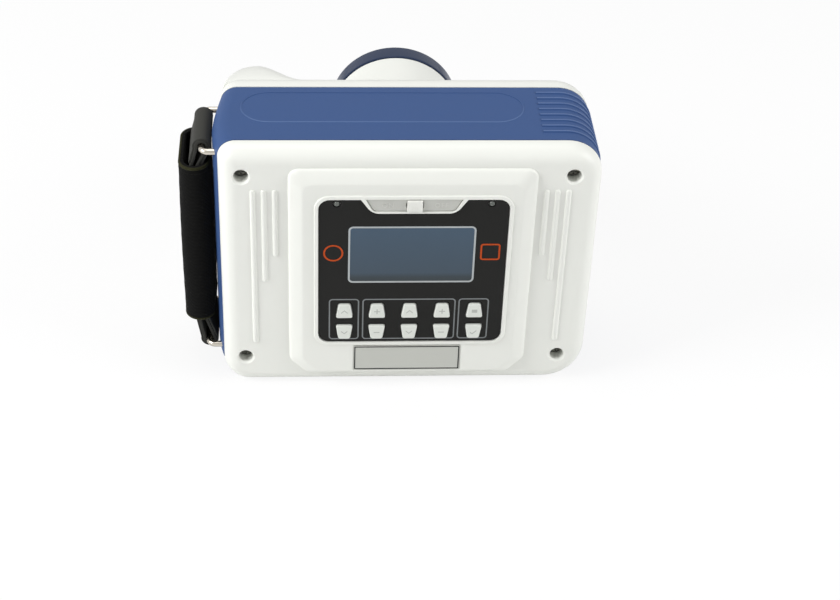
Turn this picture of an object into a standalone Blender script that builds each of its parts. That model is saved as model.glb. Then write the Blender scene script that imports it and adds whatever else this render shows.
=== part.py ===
"""Handheld intraoral x-ray unit: two white shells round a blue band, an aiming cone, a control panel,
a hand strap on wire bails, and the x-ray source, boards and battery inside.

Metres, +Z up. The operator stands on the -Y side and reads the panel; the beam leaves along +Y.
The unit rests on the underside of the band, at Z = 0, centred on the origin.
"""

import math

import bmesh
import bpy

MM = 0.001
GAP = 0.3 * MM
WALL = 2.5 * MM

# Housing: width in X, height in Z, depth in Y from the band's middle.
WIDTH = 174.0 * MM
HEIGHT = 133.8 * MM
HALF_BAND = 23.0 * MM
REAR_FACE_Y = -31.8 * MM
FRONT_FACE_Y = 38.0 * MM
REAR_FILLET = 7.85 * MM
FRONT_FILLET = 11.5 * MM
RADIUS_LOW_RIGHT = 19.5 * MM
RADIUS_TOP_RIGHT = 21.0 * MM
RADIUS_TOP_LEFT = 9.0 * MM
RADIUS_LOW_LEFT = 12.5 * MM
LEAST_RADIUS = 1.2 * MM
SIDE_BULGE = 3.0 * MM
CORNER_STEPS = 5

# Grip ribs round the band's top right corner, and the outline pressed into its top.
RIB_COUNT = 8
RIB_PITCH = 4.8 * MM
RIB_FIRST_Y = -14.6 * MM
RIB_HEIGHT = 0.5 * MM
RIB_HALF_TOP = 0.5 * MM
RIB_HALF_FOOT = 1.1 * MM
RIB_LEFT_X = 60.0 * MM
RIB_LOW_Z = 62.0 * MM
STADIUM_X = -12.0 * MM
STADIUM_Y = 5.2 * MM
STADIUM_HALF_LENGTH = 52.0 * MM
STADIUM_RADIUS = 13.0 * MM
STADIUM_PROFILE = (
    (0.4 * MM, -0.8 * MM), (0.4 * MM, 0.15 * MM), (0.24 * MM, 0.35 * MM),
    (-0.24 * MM, 0.35 * MM), (-0.4 * MM, 0.15 * MM), (-0.4 * MM, -0.8 * MM))

# Raised plateau and control panel on the rear face.
PLATEAU_Y = -35.8 * MM
PLATEAU_X = 0.8 * MM
PLATEAU_HALF_X = 49.4 * MM
PLATEAU_LOW_Z = 11.3 * MM
PLATEAU_HIGH_Z = 117.4 * MM
PLATEAU_CHAMFER = 5.0 * MM
PLATEAU_SHOULDER = (
    (-30.0 * MM, 7.4 * MM), (-31.8 * MM, 6.6 * MM), (-33.4 * MM, 5.6 * MM),
    (-34.7 * MM, 3.9 * MM), (-35.5 * MM, 1.9 * MM), (PLATEAU_Y, 0.0))
PLATEAU_CAVITY_Y = -32.3 * MM
PLATEAU_WALL = 3.0 * MM
PANEL_X = 1.4 * MM
PANEL_HALF_X = 43.15 * MM
PANEL_LOW_Z = 29.3 * MM
PANEL_HIGH_Z = 110.3 * MM
PANEL_FACE_Y = -36.0 * MM
PANEL_BACK_Y = -34.6 * MM
BEZEL_Y = -36.5 * MM
BEZEL_WIDTH = 2.3 * MM
NOTCH_HALF_TOP = 24.4 * MM
NOTCH_HALF_LOW = 19.3 * MM
NOTCH_LOW_Z = 102.8 * MM
WINDOW_RADIUS = 3.0 * MM
WINDOW_HALF_X = 40.5 * MM
WINDOW_LOW_Z = 30.9 * MM
WINDOW_HIGH_Z = 99.3 * MM
DISPLAY_RADIUS = 1.5 * MM
DISPLAY_HALF_X = 29.15 * MM
DISPLAY_LOW_Z = 64.5 * MM
DISPLAY_HIGH_Z = 95.2 * MM

# Keys: five columns in two rows, wide ends facing each other.
KEY_COLUMNS = 5
KEY_PITCH = 15.3 * MM
KEY_UPPER_Z = 48.2 * MM
KEY_LOWER_Z = 35.9 * MM
KEY_HALF_WIDE = 3.95 * MM
KEY_HALF_NARROW = 2.75 * MM
KEY_HALF_HEIGHT = 3.9 * MM
KEY_TOP_Y = -37.2 * MM
KEY_FLANGE_Y = -34.3 * MM
KEY_FOOT_Y = -31.9 * MM
KEY_FLANGE_REACH = 0.9 * MM
BOARD_FRONT_Y = -30.6 * MM
BOARD_BACK_Y = -29.0 * MM
DOME_HEIGHT = 0.6 * MM

DOME_HALF_TOP = 1.6 * MM
DOME_HALF_FOOT = 2.4 * MM
DISPLAY_MODULE = ((-30.6 * MM, -34.2 * MM, 61.5 * MM), (33.4 * MM, -30.9 * MM, 98.0 * MM))
KEY_BOARD = ((-40.6 * MM, -30.6 * MM, 28.5 * MM), (43.4 * MM, -29.0 * MM, 113.0 * MM))
CHIP_CORNERS = ((-30.0 * MM, 60.0 * MM), (-5.0 * MM, 64.0 * MM), (20.0 * MM, 58.0 * MM))
CHIP_SIZE = 9.0 * MM
CHIP_HEIGHT = 2.0 * MM

# Power slider in its recess at the top of the panel.
SLIDER_X = 1.6 * MM
SLIDER_Z = 107.3 * MM
SLIDER_HALF_X = 3.5 * MM
SLIDER_HALF_Z = 2.9 * MM
RECESS_HALF_TOP = 21.65 * MM
RECESS_HALF_LOW = 18.3 * MM
RECESS_LOW_Z = 104.2 * MM
RECESS_HIGH_Z = 110.4 * MM
RECESS_FLOOR_Y = -34.8 * MM
SLOT_HALF_X = 4.0 * MM
SLOT_HALF_Z = 1.4 * MM
SLIDER_TOP_Y = -37.3 * MM
SLIDER_FOOT_Y = -36.2 * MM
SLIDER_SKIRT_Y = -32.0 * MM
SLIDER_SKIRT = (7.0 * MM, 2.4 * MM)
SLIDER_STEM = (1.2 * MM, 1.1 * MM)
SWITCH = ((-8.4 * MM, -31.1 * MM, 104.0 * MM), (11.6 * MM, -26.5 * MM, 110.5 * MM))
SWITCH_NOTCH = ((-8.9 * MM, -32.0 * MM, 103.5 * MM), (12.1 * MM, -28.0 * MM, 111.0 * MM))
PLATE_THICK = 0.8 * MM
LAMP_HOLE_RADIUS = 1.7 * MM
LAMP_PROFILE = ((0.7 * MM, -36.3 * MM), (1.3 * MM, -35.9 * MM), (1.3 * MM, -31.6 * MM), (1.9 * MM, -31.6 * MM))
LAMP_HALF_SPACING = 35.1 * MM
LAMP_Z = 108.0 * MM

# Name plate recess, left bare.
PLATE_LOW_Z = 11.8 * MM
PLATE_HIGH_Z = 26.3 * MM
PLATE_HALF_X = 25.2 * MM
NAME_PLATE_Y = (-36.0 * MM, -35.6 * MM)
NAME_RECESS_Y = -35.3 * MM

# Upright beads either side of the panel: the middles of the two groups, and the three lower ends from
# the outermost bead inwards.
BEAD_LEFT_X = -66.5 * MM
BEAD_RIGHT_X = 66.6 * MM
BEAD_PITCH = 5.0 * MM
BEAD_TOP_Z = 113.0 * MM
BEAD_LOW_Z = (25.5 * MM, 61.5 * MM, 76.0 * MM)
BEAD_PROFILE = ((-31.0 * MM, 1.4 * MM), (-32.1 * MM, 1.3 * MM), (-32.6 * MM, 0.7 * MM))

# Depths that cutters through the rear face start and end at, clear of it on both sides.
CUT_REAR_Y = -38.0 * MM
CUT_PANEL_Y = -33.0 * MM
CUT_INSIDE_Y = -28.0 * MM

# Housing screws.
SCREW_LEFT_X = -76.5 * MM
SCREW_RIGHT_X = 73.5 * MM
SCREW_LOW_Z = 16.8 * MM
SCREW_HIGH_Z = 119.8 * MM
COUNTERBORE_RADIUS = 3.75 * MM
COUNTERBORE_FLOOR_Y = -24.8 * MM
BOSS_RADIUS = 5.4 * MM
BOSS_END_Y = -22.6 * MM
POST_START_Y = -22.0 * MM
POST_TIP_Y = 36.3 * MM
POST_TIP_RADIUS = 3.2 * MM
POST_TAPER = 4.0 * MM
THREAD_BORE = 1.5 * MM
SHANK_BORE = 1.9 * MM
SCREW_HEAD = ((1.6 * MM, 2.2 * MM), (2.8 * MM, 1.7 * MM), (3.1 * MM, 1.0 * MM), (3.1 * MM, 0.0))
SCREW_SHANK = 1.2 * MM
SCREW_TIP = 0.5 * MM
SCREW_END_Y = -8.5 * MM

# Aiming cone.
CONE_X = -1.5 * MM
CONE_Z = 77.5 * MM
CONE_RADIUS = 32.0 * MM
CONE_BORE = 29.2 * MM
CONE_FLANGE_RADIUS = 36.0 * MM
CONE_FLANGE_Y = 32.2 * MM
CONE_END_Y = 93.0 * MM
RING_END_Y = 103.4 * MM
RING_RADIUS = 32.6 * MM
RING_BORE = 28.6 * MM
LINER_OUTER = 28.9 * MM
LINER_BORE = 27.7 * MM
CONE_SEAT_Y = 34.2 * MM
LINER_Y = (32.4 * MM, 92.5 * MM)
SEAL_Y = (34.5 * MM, 35.2 * MM)
COLLIMATOR_Y = (29.9 * MM, 31.9 * MM)
FILTER_Y = (28.1 * MM, 29.6 * MM)
FILTER_RADIUS = 14.0 * MM
BEAM_HALF = 9.0 * MM
ROUND_STEPS = 40
INNER_STEPS = 28

# Source behind the cone: a tank with a wall, its lid, the tube and the coil in it, and the battery under it.
TANK = ((-38.5 * MM, -14.0 * MM, 44.0 * MM), (35.5 * MM, 24.0 * MM, 111.0 * MM))
TANK_WALL = 3.0 * MM
TANK_RADIUS = 4.0 * MM
LID_Y = (24.3 * MM, 27.8 * MM)
TUBE_Y = 7.0 * MM
TUBE_PROFILE = (
    (-33.0 * MM, 3.0 * MM), (-31.0 * MM, 7.0 * MM), (-20.0 * MM, 7.5 * MM), (-14.0 * MM, 13.0 * MM),
    (11.0 * MM, 13.0 * MM), (17.0 * MM, 7.5 * MM), (28.0 * MM, 7.0 * MM), (30.0 * MM, 3.0 * MM))
COIL_X = -20.0 * MM
COIL_Z = 56.0 * MM
COIL_PROFILE = (
    (7.9 * MM, -10.0 * MM), (7.9 * MM, -8.0 * MM), (5.8 * MM, -8.0 * MM), (5.8 * MM, 18.0 * MM),
    (7.9 * MM, 18.0 * MM), (7.9 * MM, 20.0 * MM))
BATTERY = ((-36.0 * MM, -24.0 * MM, 3.0 * MM), (32.0 * MM, 1.8 * MM, 40.0 * MM))
BUZZER_X = -30.0 * MM
BUZZER_Z = 90.0 * MM
BUZZER_RADIUS = 6.0 * MM
BUZZER_Y = (-28.7 * MM, -23.0 * MM)
DRIVER_BOARD = ((46.0 * MM, -8.0 * MM, 46.0 * MM), (80.0 * MM, -6.4 * MM, 112.0 * MM))
DRIVER_CORE = ((49.0 * MM, -7.0 * MM, 50.0 * MM), (62.0 * MM, 6.0 * MM, 66.0 * MM))
DRIVER_SINK = ((66.0 * MM, -7.0 * MM, 52.0 * MM), (76.0 * MM, 2.0 * MM, 80.0 * MM))
CAPACITOR_X = 55.0 * MM
CAPACITOR_Z = (80.0 * MM, 96.0 * MM)
CAPACITOR_PROFILE = ((5.0 * MM, -7.0 * MM), (5.0 * MM, 14.0 * MM))

# Grip bulge on the front shell: domed at both ends, steep on the left, flowing into the face on the right.
GRIP_X = -70.5 * MM
GRIP_LEFT = 16.5 * MM
GRIP_RIGHT = 25.0 * MM
GRIP_SINK = 0.3 * MM
GRIP_FOOT_Y = 29.0 * MM
GRIP_FRONT_Y = 59.2 * MM
GRIP_TOP_Z = 132.6 * MM
GRIP_TOP_RADIUS = 13.0 * MM
GRIP_LOW_Z = 6.0 * MM
GRIP_LOW_RADIUS = 16.0 * MM
GRIP_STEPS = 9
TRIGGER_X = -70.5 * MM
TRIGGER_Z = 98.0 * MM
TRIGGER_HALF_X = 6.0 * MM
TRIGGER_HALF_Z = 10.0 * MM
TRIGGER_RADIUS = 4.0 * MM
TRIGGER_PROFILE = (
    (60.4 * MM, -1.4 * MM), (60.0 * MM, -0.5 * MM), (59.4 * MM, 0.0), (51.2 * MM, 0.0), (51.2 * MM, 0.9 * MM),
    (50.0 * MM, 0.9 * MM), (50.0 * MM, -2.5 * MM), (49.0 * MM, -2.5 * MM))
TRIGGER_HOLE_Y = (48.0 * MM, 66.0 * MM)
TRIGGER_SWITCH = ((-74.5 * MM, 35.5 * MM, 90.0 * MM), (-66.5 * MM, 46.5 * MM, 106.0 * MM))
TRIGGER_BRACKET = ((-81.0 * MM, 33.2 * MM, 84.0 * MM), (-42.0 * MM, 35.2 * MM, 112.0 * MM))

# Charging inlet in the right side, and the tripod bush in the base.
INLET_Y = 0.0
INLET_Z = 30.0 * MM
INLET_RADIUS = 5.0 * MM
BUSH_RADIUS = 6.0 * MM
BUSH_Y = 11.0 * MM
INLET_PROFILE = (
    (1.0 * MM, 86.2 * MM), (1.0 * MM, 80.5 * MM), (2.9 * MM, 80.5 * MM), (2.9 * MM, 87.3 * MM),
    (4.6 * MM, 87.6 * MM), (5.0 * MM, 87.2 * MM), (5.0 * MM, 83.9 * MM), (6.6 * MM, 83.9 * MM),
    (6.6 * MM, 82.4 * MM), (4.0 * MM, 82.4 * MM), (4.0 * MM, 74.0 * MM))
BUSH_PROFILE = (
    (3.2 * MM, 8.0 * MM), (3.2 * MM, 0.3 * MM), (6.0 * MM, 0.3 * MM), (6.0 * MM, 2.8 * MM),
    (8.5 * MM, 2.8 * MM), (8.5 * MM, 4.6 * MM), (6.0 * MM, 4.6 * MM), (6.0 * MM, 10.0 * MM))

# Strap, pad and wire bails.
BAIL_X = -94.4 * MM
BAIL_TOP_Z = 124.4 * MM
BAIL_LOW_Z = 14.0 * MM
BAIL_HALF_Y = 18.0 * MM
BAIL_WIRE = 1.5 * MM
BAIL_INNER_X = -82.3 * MM
BAIL_BEND = 3.0 * MM
BAIL_PLATE_X = (-83.3 * MM, -82.2 * MM)
BAIL_PLATE_HALF_Y = 22.0 * MM
BAIL_PLATE_HALF_Z = 3.0 * MM
STRAP_HALF_Y = 14.0 * MM
STRAP_THICK = 1.6 * MM
PAD_X = -98.3 * MM
PAD_LOW_Z = 28.5 * MM
PAD_HIGH_Z = 115.3 * MM
PAD_HALF_X = 7.5 * MM
PAD_HALF_Y = 18.0 * MM
PAD_WALL = 2.3 * MM
PAD_WAIST = 0.06
PAD_RIM = 1.0 * MM
PAD_LEVELS = 7
STRAP_HALF_GAP = 1.3 * MM

WHITE = ("white_plastic", (0.80, 0.81, 0.76), 0.38, 0.0)
BLUE = ("blue_plastic", (0.070, 0.120, 0.280), 0.45, 0.0)
NAVY = ("navy_plastic", (0.030, 0.055, 0.150), 0.18, 0.0)
BLACK = ("panel_black", (0.022, 0.024, 0.023), 0.35, 0.0)
GLASS = ("display_glass", (0.068, 0.105, 0.150), 0.15, 0.0)
KEY_GREY = ("key_grey", (0.62, 0.65, 0.60), 0.45, 0.0)
PALE_GREY = ("recess_grey", (0.48, 0.49, 0.45), 0.50, 0.0)
SLIDER_WHITE = ("slider_white", (0.82, 0.82, 0.78), 0.40, 0.0)
LAMP_CLEAR = ("lamp_lens", (0.30, 0.32, 0.30), 0.20, 0.0)
PLATE_GREY = ("bare_plate", (0.50, 0.51, 0.47), 0.35, 0.0)
NICKEL = ("nickel_steel", (0.60, 0.57, 0.50), 0.25, 1.0)
ZINC = ("zinc_steel", (0.42, 0.43, 0.44), 0.40, 1.0)
LEAD = ("lead_sheet", (0.15, 0.16, 0.17), 0.55, 1.0)
ALUMINIUM = ("aluminium", (0.66, 0.67, 0.68), 0.40, 1.0)
BRASS = ("brass", (0.60, 0.42, 0.16), 0.30, 1.0)
RUBBER = ("black_rubber", (0.015, 0.015, 0.016), 0.75, 0.0)
SOFT_BLACK = ("pad_fabric", (0.008, 0.008, 0.008), 0.90, 0.0)
WEB_BLACK = ("strap_webbing", (0.022, 0.022, 0.021), 0.85, 0.0)
BOARD_GREEN = ("circuit_board", (0.03, 0.16, 0.07), 0.50, 0.0)
PART_BLACK = ("component_black", (0.02, 0.02, 0.02), 0.45, 0.0)
CLEAR_GLASS = ("tube_glass", (0.62, 0.68, 0.70), 0.10, 0.0)
COPPER = ("coil_copper", (0.55, 0.26, 0.12), 0.35, 1.0)


def material(finish):
    """Return the material of a finish, made the first time it is asked for."""
    name, color, roughness, metallic = finish
    found = bpy.data.materials.get(name)
    if found:
        return found
    made = bpy.data.materials.new(name)
    made.use_nodes = True
    made.diffuse_color = (*color, 1.0)
    shader = made.node_tree.nodes["Principled BSDF"]
    shader.inputs["Base Color"].default_value = (*color, 1.0)
    shader.inputs["Roughness"].default_value = roughness
    shader.inputs["Metallic"].default_value = metallic
    return made


# ---------------------------------------------------------------- meshes

def body(name, ring_lists, closed, finish=None):
    """Loft each list of rings into a solid, all in one object; closed lists bend back on themselves."""
    mesh = bpy.data.meshes.new(name)
    build = bmesh.new()
    for rings in ring_lists:
        loops = [[build.verts.new(point) for point in ring] for ring in rings]
        count = len(loops[0])
        pairs = list(zip(loops, loops[1:]))
        if closed:
            pairs.append((loops[-1], loops[0]))
        else:
            build.faces.new(loops[0])
            build.faces.new(loops[-1])
        for first, second in pairs:
            for index in range(count):
                after = (index + 1) % count
                build.faces.new((first[index], first[after], second[after], second[index]))
    bmesh.ops.recalc_face_normals(build, faces=build.faces)
    build.to_mesh(mesh)
    build.free()
    made = bpy.data.objects.new(name, mesh)
    bpy.context.scene.collection.objects.link(made)
    if finish:
        mesh.materials.append(material(finish))
        mesh.shade_smooth()
        mesh.set_sharp_from_angle(angle=math.radians(35))
    else:
        made.hide_render = True
        made.display_type = "WIRE"
    return made


def loft(name, rings, finish=None):
    """One solid through open rings, with flat ends."""
    return body(name, [rings], False, finish)


def hoop(name, rings, finish=None):
    """One ring-shaped solid whose last ring joins the first."""
    return body(name, [rings], True, finish)


def boolean(target, tool, operation):
    """Cut a tool from a target, or join it on."""
    modifier = target.modifiers.new(f"{operation.lower()}_{tool.name}", "BOOLEAN")
    modifier.operation = operation
    modifier.solver = "EXACT"
    modifier.object = tool


def cut(target, tool):
    boolean(target, tool, "DIFFERENCE")


def join(target, tool):
    boolean(target, tool, "UNION")


# ---------------------------------------------------------------- outlines

def arc(x, z, radius, start, sweep, steps):
    """Points along an arc, angles in degrees."""
    turns = [math.radians(start + sweep * step / steps) for step in range(steps + 1)]
    return [(x + radius * math.cos(turn), z + radius * math.sin(turn)) for turn in turns]


def rounded_polygon(corners, steps=4):
    """Outline through corners given as (x, z, radius), in order, each rounded by its radius."""
    points = []
    for index, (x, z, radius) in enumerate(corners):
        back = corners[index - 1]
        ahead = corners[(index + 1) % len(corners)]
        to_back = math.atan2(back[1] - z, back[0] - x)
        to_ahead = math.atan2(ahead[1] - z, ahead[0] - x)
        turn = (to_ahead - to_back + math.pi) % (2 * math.pi) - math.pi
        half = abs(turn) / 2
        middle = to_back + turn / 2
        reach = radius / math.sin(half)
        centre = (x + reach * math.cos(middle), z + reach * math.sin(middle))
        sweep = math.copysign(math.pi - 2 * half, -turn)
        start = middle + math.pi - sweep / 2
        for step in range(steps + 1):
            angle = start + sweep * step / steps
            points.append((centre[0] + radius * math.cos(angle), centre[1] + radius * math.sin(angle)))
    return points


def rounded_box(half_x, low, high, radius, middle=0.0, steps=4):
    """Rounded rectangle, half_x either side of middle, from low to high."""
    corners = ((middle + half_x, low), (middle + half_x, high), (middle - half_x, high), (middle - half_x, low))
    return rounded_polygon([(x, z, radius) for x, z in corners], steps)


def at_y(y, outline):
    """Outline points (x, z) as a ring at one depth."""
    return [(x, y, z) for x, z in outline]


def at_x(x, outline):
    """Outline points (y, z) as a ring at one place across."""
    return [(x, y, z) for y, z in outline]


def at_z(z, outline):
    """Outline points (x, y) as a ring at one height."""
    return [(x, y, z) for x, y in outline]


def circle(radius, x=0.0, z=0.0, steps=ROUND_STEPS):
    """Points of a circle."""
    turns = [2 * math.pi * step / steps for step in range(steps)]
    return [(x + radius * math.cos(turn), z + radius * math.sin(turn)) for turn in turns]


def turned_y(profile, x, z, steps=ROUND_STEPS):
    """Rings about an axis along Y, from (radius, y) pairs."""
    return [at_y(y, circle(radius, x, z, steps)) for radius, y in profile]


def turned_z(profile, x, y, steps=ROUND_STEPS):
    """Rings about an axis along Z, from (radius, z) pairs."""
    return [at_z(z, circle(radius, x, y, steps)) for radius, z in profile]


def block(low, high, radius=0.0, steps=3):
    """Rings of a box between two corners, its edges along Y rounded."""
    half_x = (high[0] - low[0]) / 2
    middle = (high[0] + low[0]) / 2
    if radius:
        outline = rounded_box(half_x, low[2], high[2], radius, middle, steps)
    else:
        outline = [(high[0], low[2]), (high[0], high[2]), (low[0], high[2]), (low[0], low[2])]
    return [at_y(low[1], outline), at_y(high[1], outline)]


def housing_outline(inset, left_extra=0.0, right_z=(), top_x=()):
    """Outline of the housing seen by the operator, with extra points on the right side and the top."""
    left = -WIDTH / 2 - left_extra + inset
    right = WIDTH / 2 - inset
    top = HEIGHT - inset
    low_right = max(RADIUS_LOW_RIGHT - inset, LEAST_RADIUS)
    top_right = max(RADIUS_TOP_RIGHT - inset, LEAST_RADIUS)
    top_left = max(RADIUS_TOP_LEFT - inset, LEAST_RADIUS)
    low_left = max(RADIUS_LOW_LEFT - inset, LEAST_RADIUS)
    points = arc(right - low_right, inset + low_right, low_right, -90, 90, CORNER_STEPS)
    points += [(right, z) for z in right_z]
    points += arc(right - top_right, top - top_right, top_right, 0, 90, CORNER_STEPS)
    points += [(x, top) for x in top_x]
    points += arc(left + top_left, top - top_left, top_left, 90, 90, CORNER_STEPS)
    points += arc(left + low_left, inset + low_left, low_left, 180, 90, CORNER_STEPS)
    return points


def filleted(edge_y, face_y, fillet, inset=0.0, steps=5):
    """Rings from a parting edge to a face, rounded into it by a fillet."""
    inward = 1.0 if face_y > edge_y else -1.0
    start_y = face_y - inward * fillet
    rings = [at_y(edge_y, housing_outline(inset))]
    for step in range(steps + 1):
        angle = math.radians(90) * step / steps
        y = start_y + inward * fillet * math.sin(angle)
        rings.append(at_y(y, housing_outline(inset + fillet * (1 - math.cos(angle)))))
    return rings


# ---------------------------------------------------------------- housing

def panel_outline(grow):
    """Control panel's outline, notched at the top for the switch recess."""
    left = PANEL_X - PANEL_HALF_X - grow
    right = PANEL_X + PANEL_HALF_X + grow
    low = PANEL_LOW_Z - grow
    top = PANEL_HIGH_Z + grow
    radius = 5.0 * MM + grow
    slant = grow * 0.9
    return rounded_polygon([
        (right, low, radius),
        (right, top, radius),
        (PANEL_X + NOTCH_HALF_TOP - slant, top, 1.5 * MM),
        (PANEL_X + NOTCH_HALF_LOW - slant, NOTCH_LOW_Z + grow, 3.0 * MM),
        (PANEL_X - NOTCH_HALF_LOW + slant, NOTCH_LOW_Z + grow, 3.0 * MM),
        (PANEL_X - NOTCH_HALF_TOP + slant, top, 1.5 * MM),
        (left, top, radius),
        (left, low, radius),
    ])


def plateau_outline(grow):
    """Plateau outline: small radii above, chamfered corners below."""
    half = PLATEAU_HALF_X + grow
    low = PLATEAU_LOW_Z - grow * 0.5
    top = PLATEAU_HIGH_Z + grow
    corner = PLATEAU_CHAMFER + grow * 0.45
    radius = 2.0 * MM
    top_radius = max(4.0 * MM + grow, LEAST_RADIUS)
    return rounded_polygon([
        (PLATEAU_X + half - corner, low, radius),
        (PLATEAU_X + half, low + corner, radius),
        (PLATEAU_X + half, top, top_radius),
        (PLATEAU_X - half, top, top_radius),
        (PLATEAU_X - half, low + corner, radius),
        (PLATEAU_X - half + corner, low, radius),
    ], 3)


def recess_outline(grow):
    """Outline of the power slider's recess."""
    return rounded_polygon([
        (PANEL_X + RECESS_HALF_LOW + grow, RECESS_LOW_Z - grow, 1.6 * MM),
        (PANEL_X + RECESS_HALF_TOP + grow, RECESS_HIGH_Z + grow, 0.8 * MM),
        (PANEL_X - RECESS_HALF_TOP - grow, RECESS_HIGH_Z + grow, 0.8 * MM),
        (PANEL_X - RECESS_HALF_LOW - grow, RECESS_LOW_Z - grow, 1.6 * MM),
    ], 3)


def screw_places():
    """Centres (x, z) of the four housing screws."""
    return [(x, z) for z in (SCREW_HIGH_Z, SCREW_LOW_Z) for x in (SCREW_LEFT_X, SCREW_RIGHT_X)]


def lamp_hole(side, end):
    """Rings of the hole round a lamp, left (-1) or right (1), from outside the face to a depth."""
    profile = ((LAMP_HOLE_RADIUS, CUT_REAR_Y), (LAMP_HOLE_RADIUS, end))
    return turned_y(profile, PANEL_X + side * LAMP_HALF_SPACING, LAMP_Z, 12)


def bead(x, low, high):
    """Rings of one upright bead on the rear face, with round ends."""
    rings = []
    for y, half in BEAD_PROFILE:
        outline = arc(x, high - half, half, 0, 180, 4) + arc(x, low + half, half, 180, 180, 4)
        rings.append(at_y(y, outline))
    return rings


def make_rear_shell():
    """White rear shell: plateau, panel bezel, beads, screw bosses and the panel's openings."""
    shell = loft("rear_shell", filleted(-HALF_BAND - GAP / 2, REAR_FACE_Y, REAR_FILLET), WHITE)
    join(shell, loft("add_plateau", [at_y(y, plateau_outline(grow)) for y, grow in PLATEAU_SHOULDER]))
    bezel = [
        at_y(y, rounded_box(PANEL_HALF_X + grow, PANEL_LOW_Z - grow, PANEL_HIGH_Z + grow, 5.0 * MM + grow, PANEL_X))
        for y, grow in ((-35.0 * MM, BEZEL_WIDTH), (-36.1 * MM, BEZEL_WIDTH - 0.2 * MM), (BEZEL_Y, 1.6 * MM))
    ]
    join(shell, loft("add_bezel", bezel))
    beads = []
    for side, middle in ((-1, BEAD_LEFT_X), (1, BEAD_RIGHT_X)):
        for step, low in zip((1, 0, -1), BEAD_LOW_Z):
            beads.append(bead(middle + side * step * BEAD_PITCH, low, BEAD_TOP_Z))
    join(shell, body("add_beads", beads, False))
    cavity = [at_y(-HALF_BAND + 2 * MM, housing_outline(WALL))]
    cavity += filleted(-HALF_BAND, REAR_FACE_Y + WALL, REAR_FILLET - WALL, WALL)[1:]
    cut(shell, loft("cut_cavity", cavity))
    cut(shell, loft("cut_plateau_cavity", [
        at_y(CUT_INSIDE_Y, plateau_outline(-PLATEAU_WALL)), at_y(PLATEAU_CAVITY_Y, plateau_outline(-PLATEAU_WALL))]))
    bosses = [
        turned_y(((BOSS_RADIUS, REAR_FACE_Y + 0.8 * MM), (BOSS_RADIUS, BOSS_END_Y)), x, z, 16)
        for x, z in screw_places()
    ]
    join(shell, body("add_bosses", bosses, False))
    bores = []
    for x, z in screw_places():
        profile = (
            (COUNTERBORE_RADIUS + 0.5 * MM, REAR_FACE_Y - 0.5 * MM), (COUNTERBORE_RADIUS, REAR_FACE_Y + 0.5 * MM),
            (COUNTERBORE_RADIUS, COUNTERBORE_FLOOR_Y), (SHANK_BORE, COUNTERBORE_FLOOR_Y),
            (SHANK_BORE, BOSS_END_Y + 2.0 * MM))
        bores.append(turned_y(profile, x, z, 16))
    cut(shell, body("cut_counterbores", bores, False))
    plate = [
        at_y(y, rounded_box(PLATE_HALF_X + GAP, PLATE_LOW_Z - GAP, PLATE_HIGH_Z + GAP, 0.8 * MM, PANEL_X, 2))
        for y in (CUT_REAR_Y, NAME_RECESS_Y)
    ]
    pocket = [at_y(y, panel_outline(GAP)) for y in (CUT_REAR_Y, PANEL_BACK_Y + GAP)]
    recess = [at_y(y, recess_outline(GAP)) for y in (CUT_REAR_Y, RECESS_FLOOR_Y)]
    cut(shell, loft("cut_name_recess", plate))
    cut(shell, loft("cut_panel_pocket", pocket))
    cut(shell, loft("cut_recess", recess))
    window = block(
        (PANEL_X - WINDOW_HALF_X, CUT_REAR_Y, WINDOW_LOW_Z), (PANEL_X + WINDOW_HALF_X, CUT_INSIDE_Y, WINDOW_HIGH_Z),
        WINDOW_RADIUS)
    slot = block(
        (SLIDER_X - SLOT_HALF_X, CUT_REAR_Y, SLIDER_Z - SLOT_HALF_Z),
        (SLIDER_X + SLOT_HALF_X, CUT_INSIDE_Y, SLIDER_Z + SLOT_HALF_Z))
    lamps = [lamp_hole(side, CUT_INSIDE_Y) for side in (-1, 1)]
    cut(shell, body("cut_window_and_slot", [window, slot] + lamps, False))


def side_bulge(y):
    """How far the band's left side stands out at a depth."""
    along = min(max((y + HALF_BAND) / (2 * HALF_BAND), 0.0), 1.0)
    return SIDE_BULGE * math.sin(math.pi * along ** 0.75)


def band_ring(y, raised, inset):
    """One ring of the band, its rib stretch lifted by raised."""
    extra_right = (RIB_LOW_Z, RIB_LOW_Z + 1.5 * MM)
    extra_top = (RIB_LEFT_X, RIB_LEFT_X - 1.5 * MM)
    plain = housing_outline(inset, side_bulge(y), extra_right, extra_top)
    if not raised:
        return at_y(y, plain)
    lifted = housing_outline(inset - raised, side_bulge(y), extra_right, extra_top)
    return at_y(y, [
        high if low[0] > RIB_LEFT_X - 0.1 * MM and low[1] > RIB_LOW_Z + 1.0 * MM else low
        for low, high in zip(plain, lifted)
    ])


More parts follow.
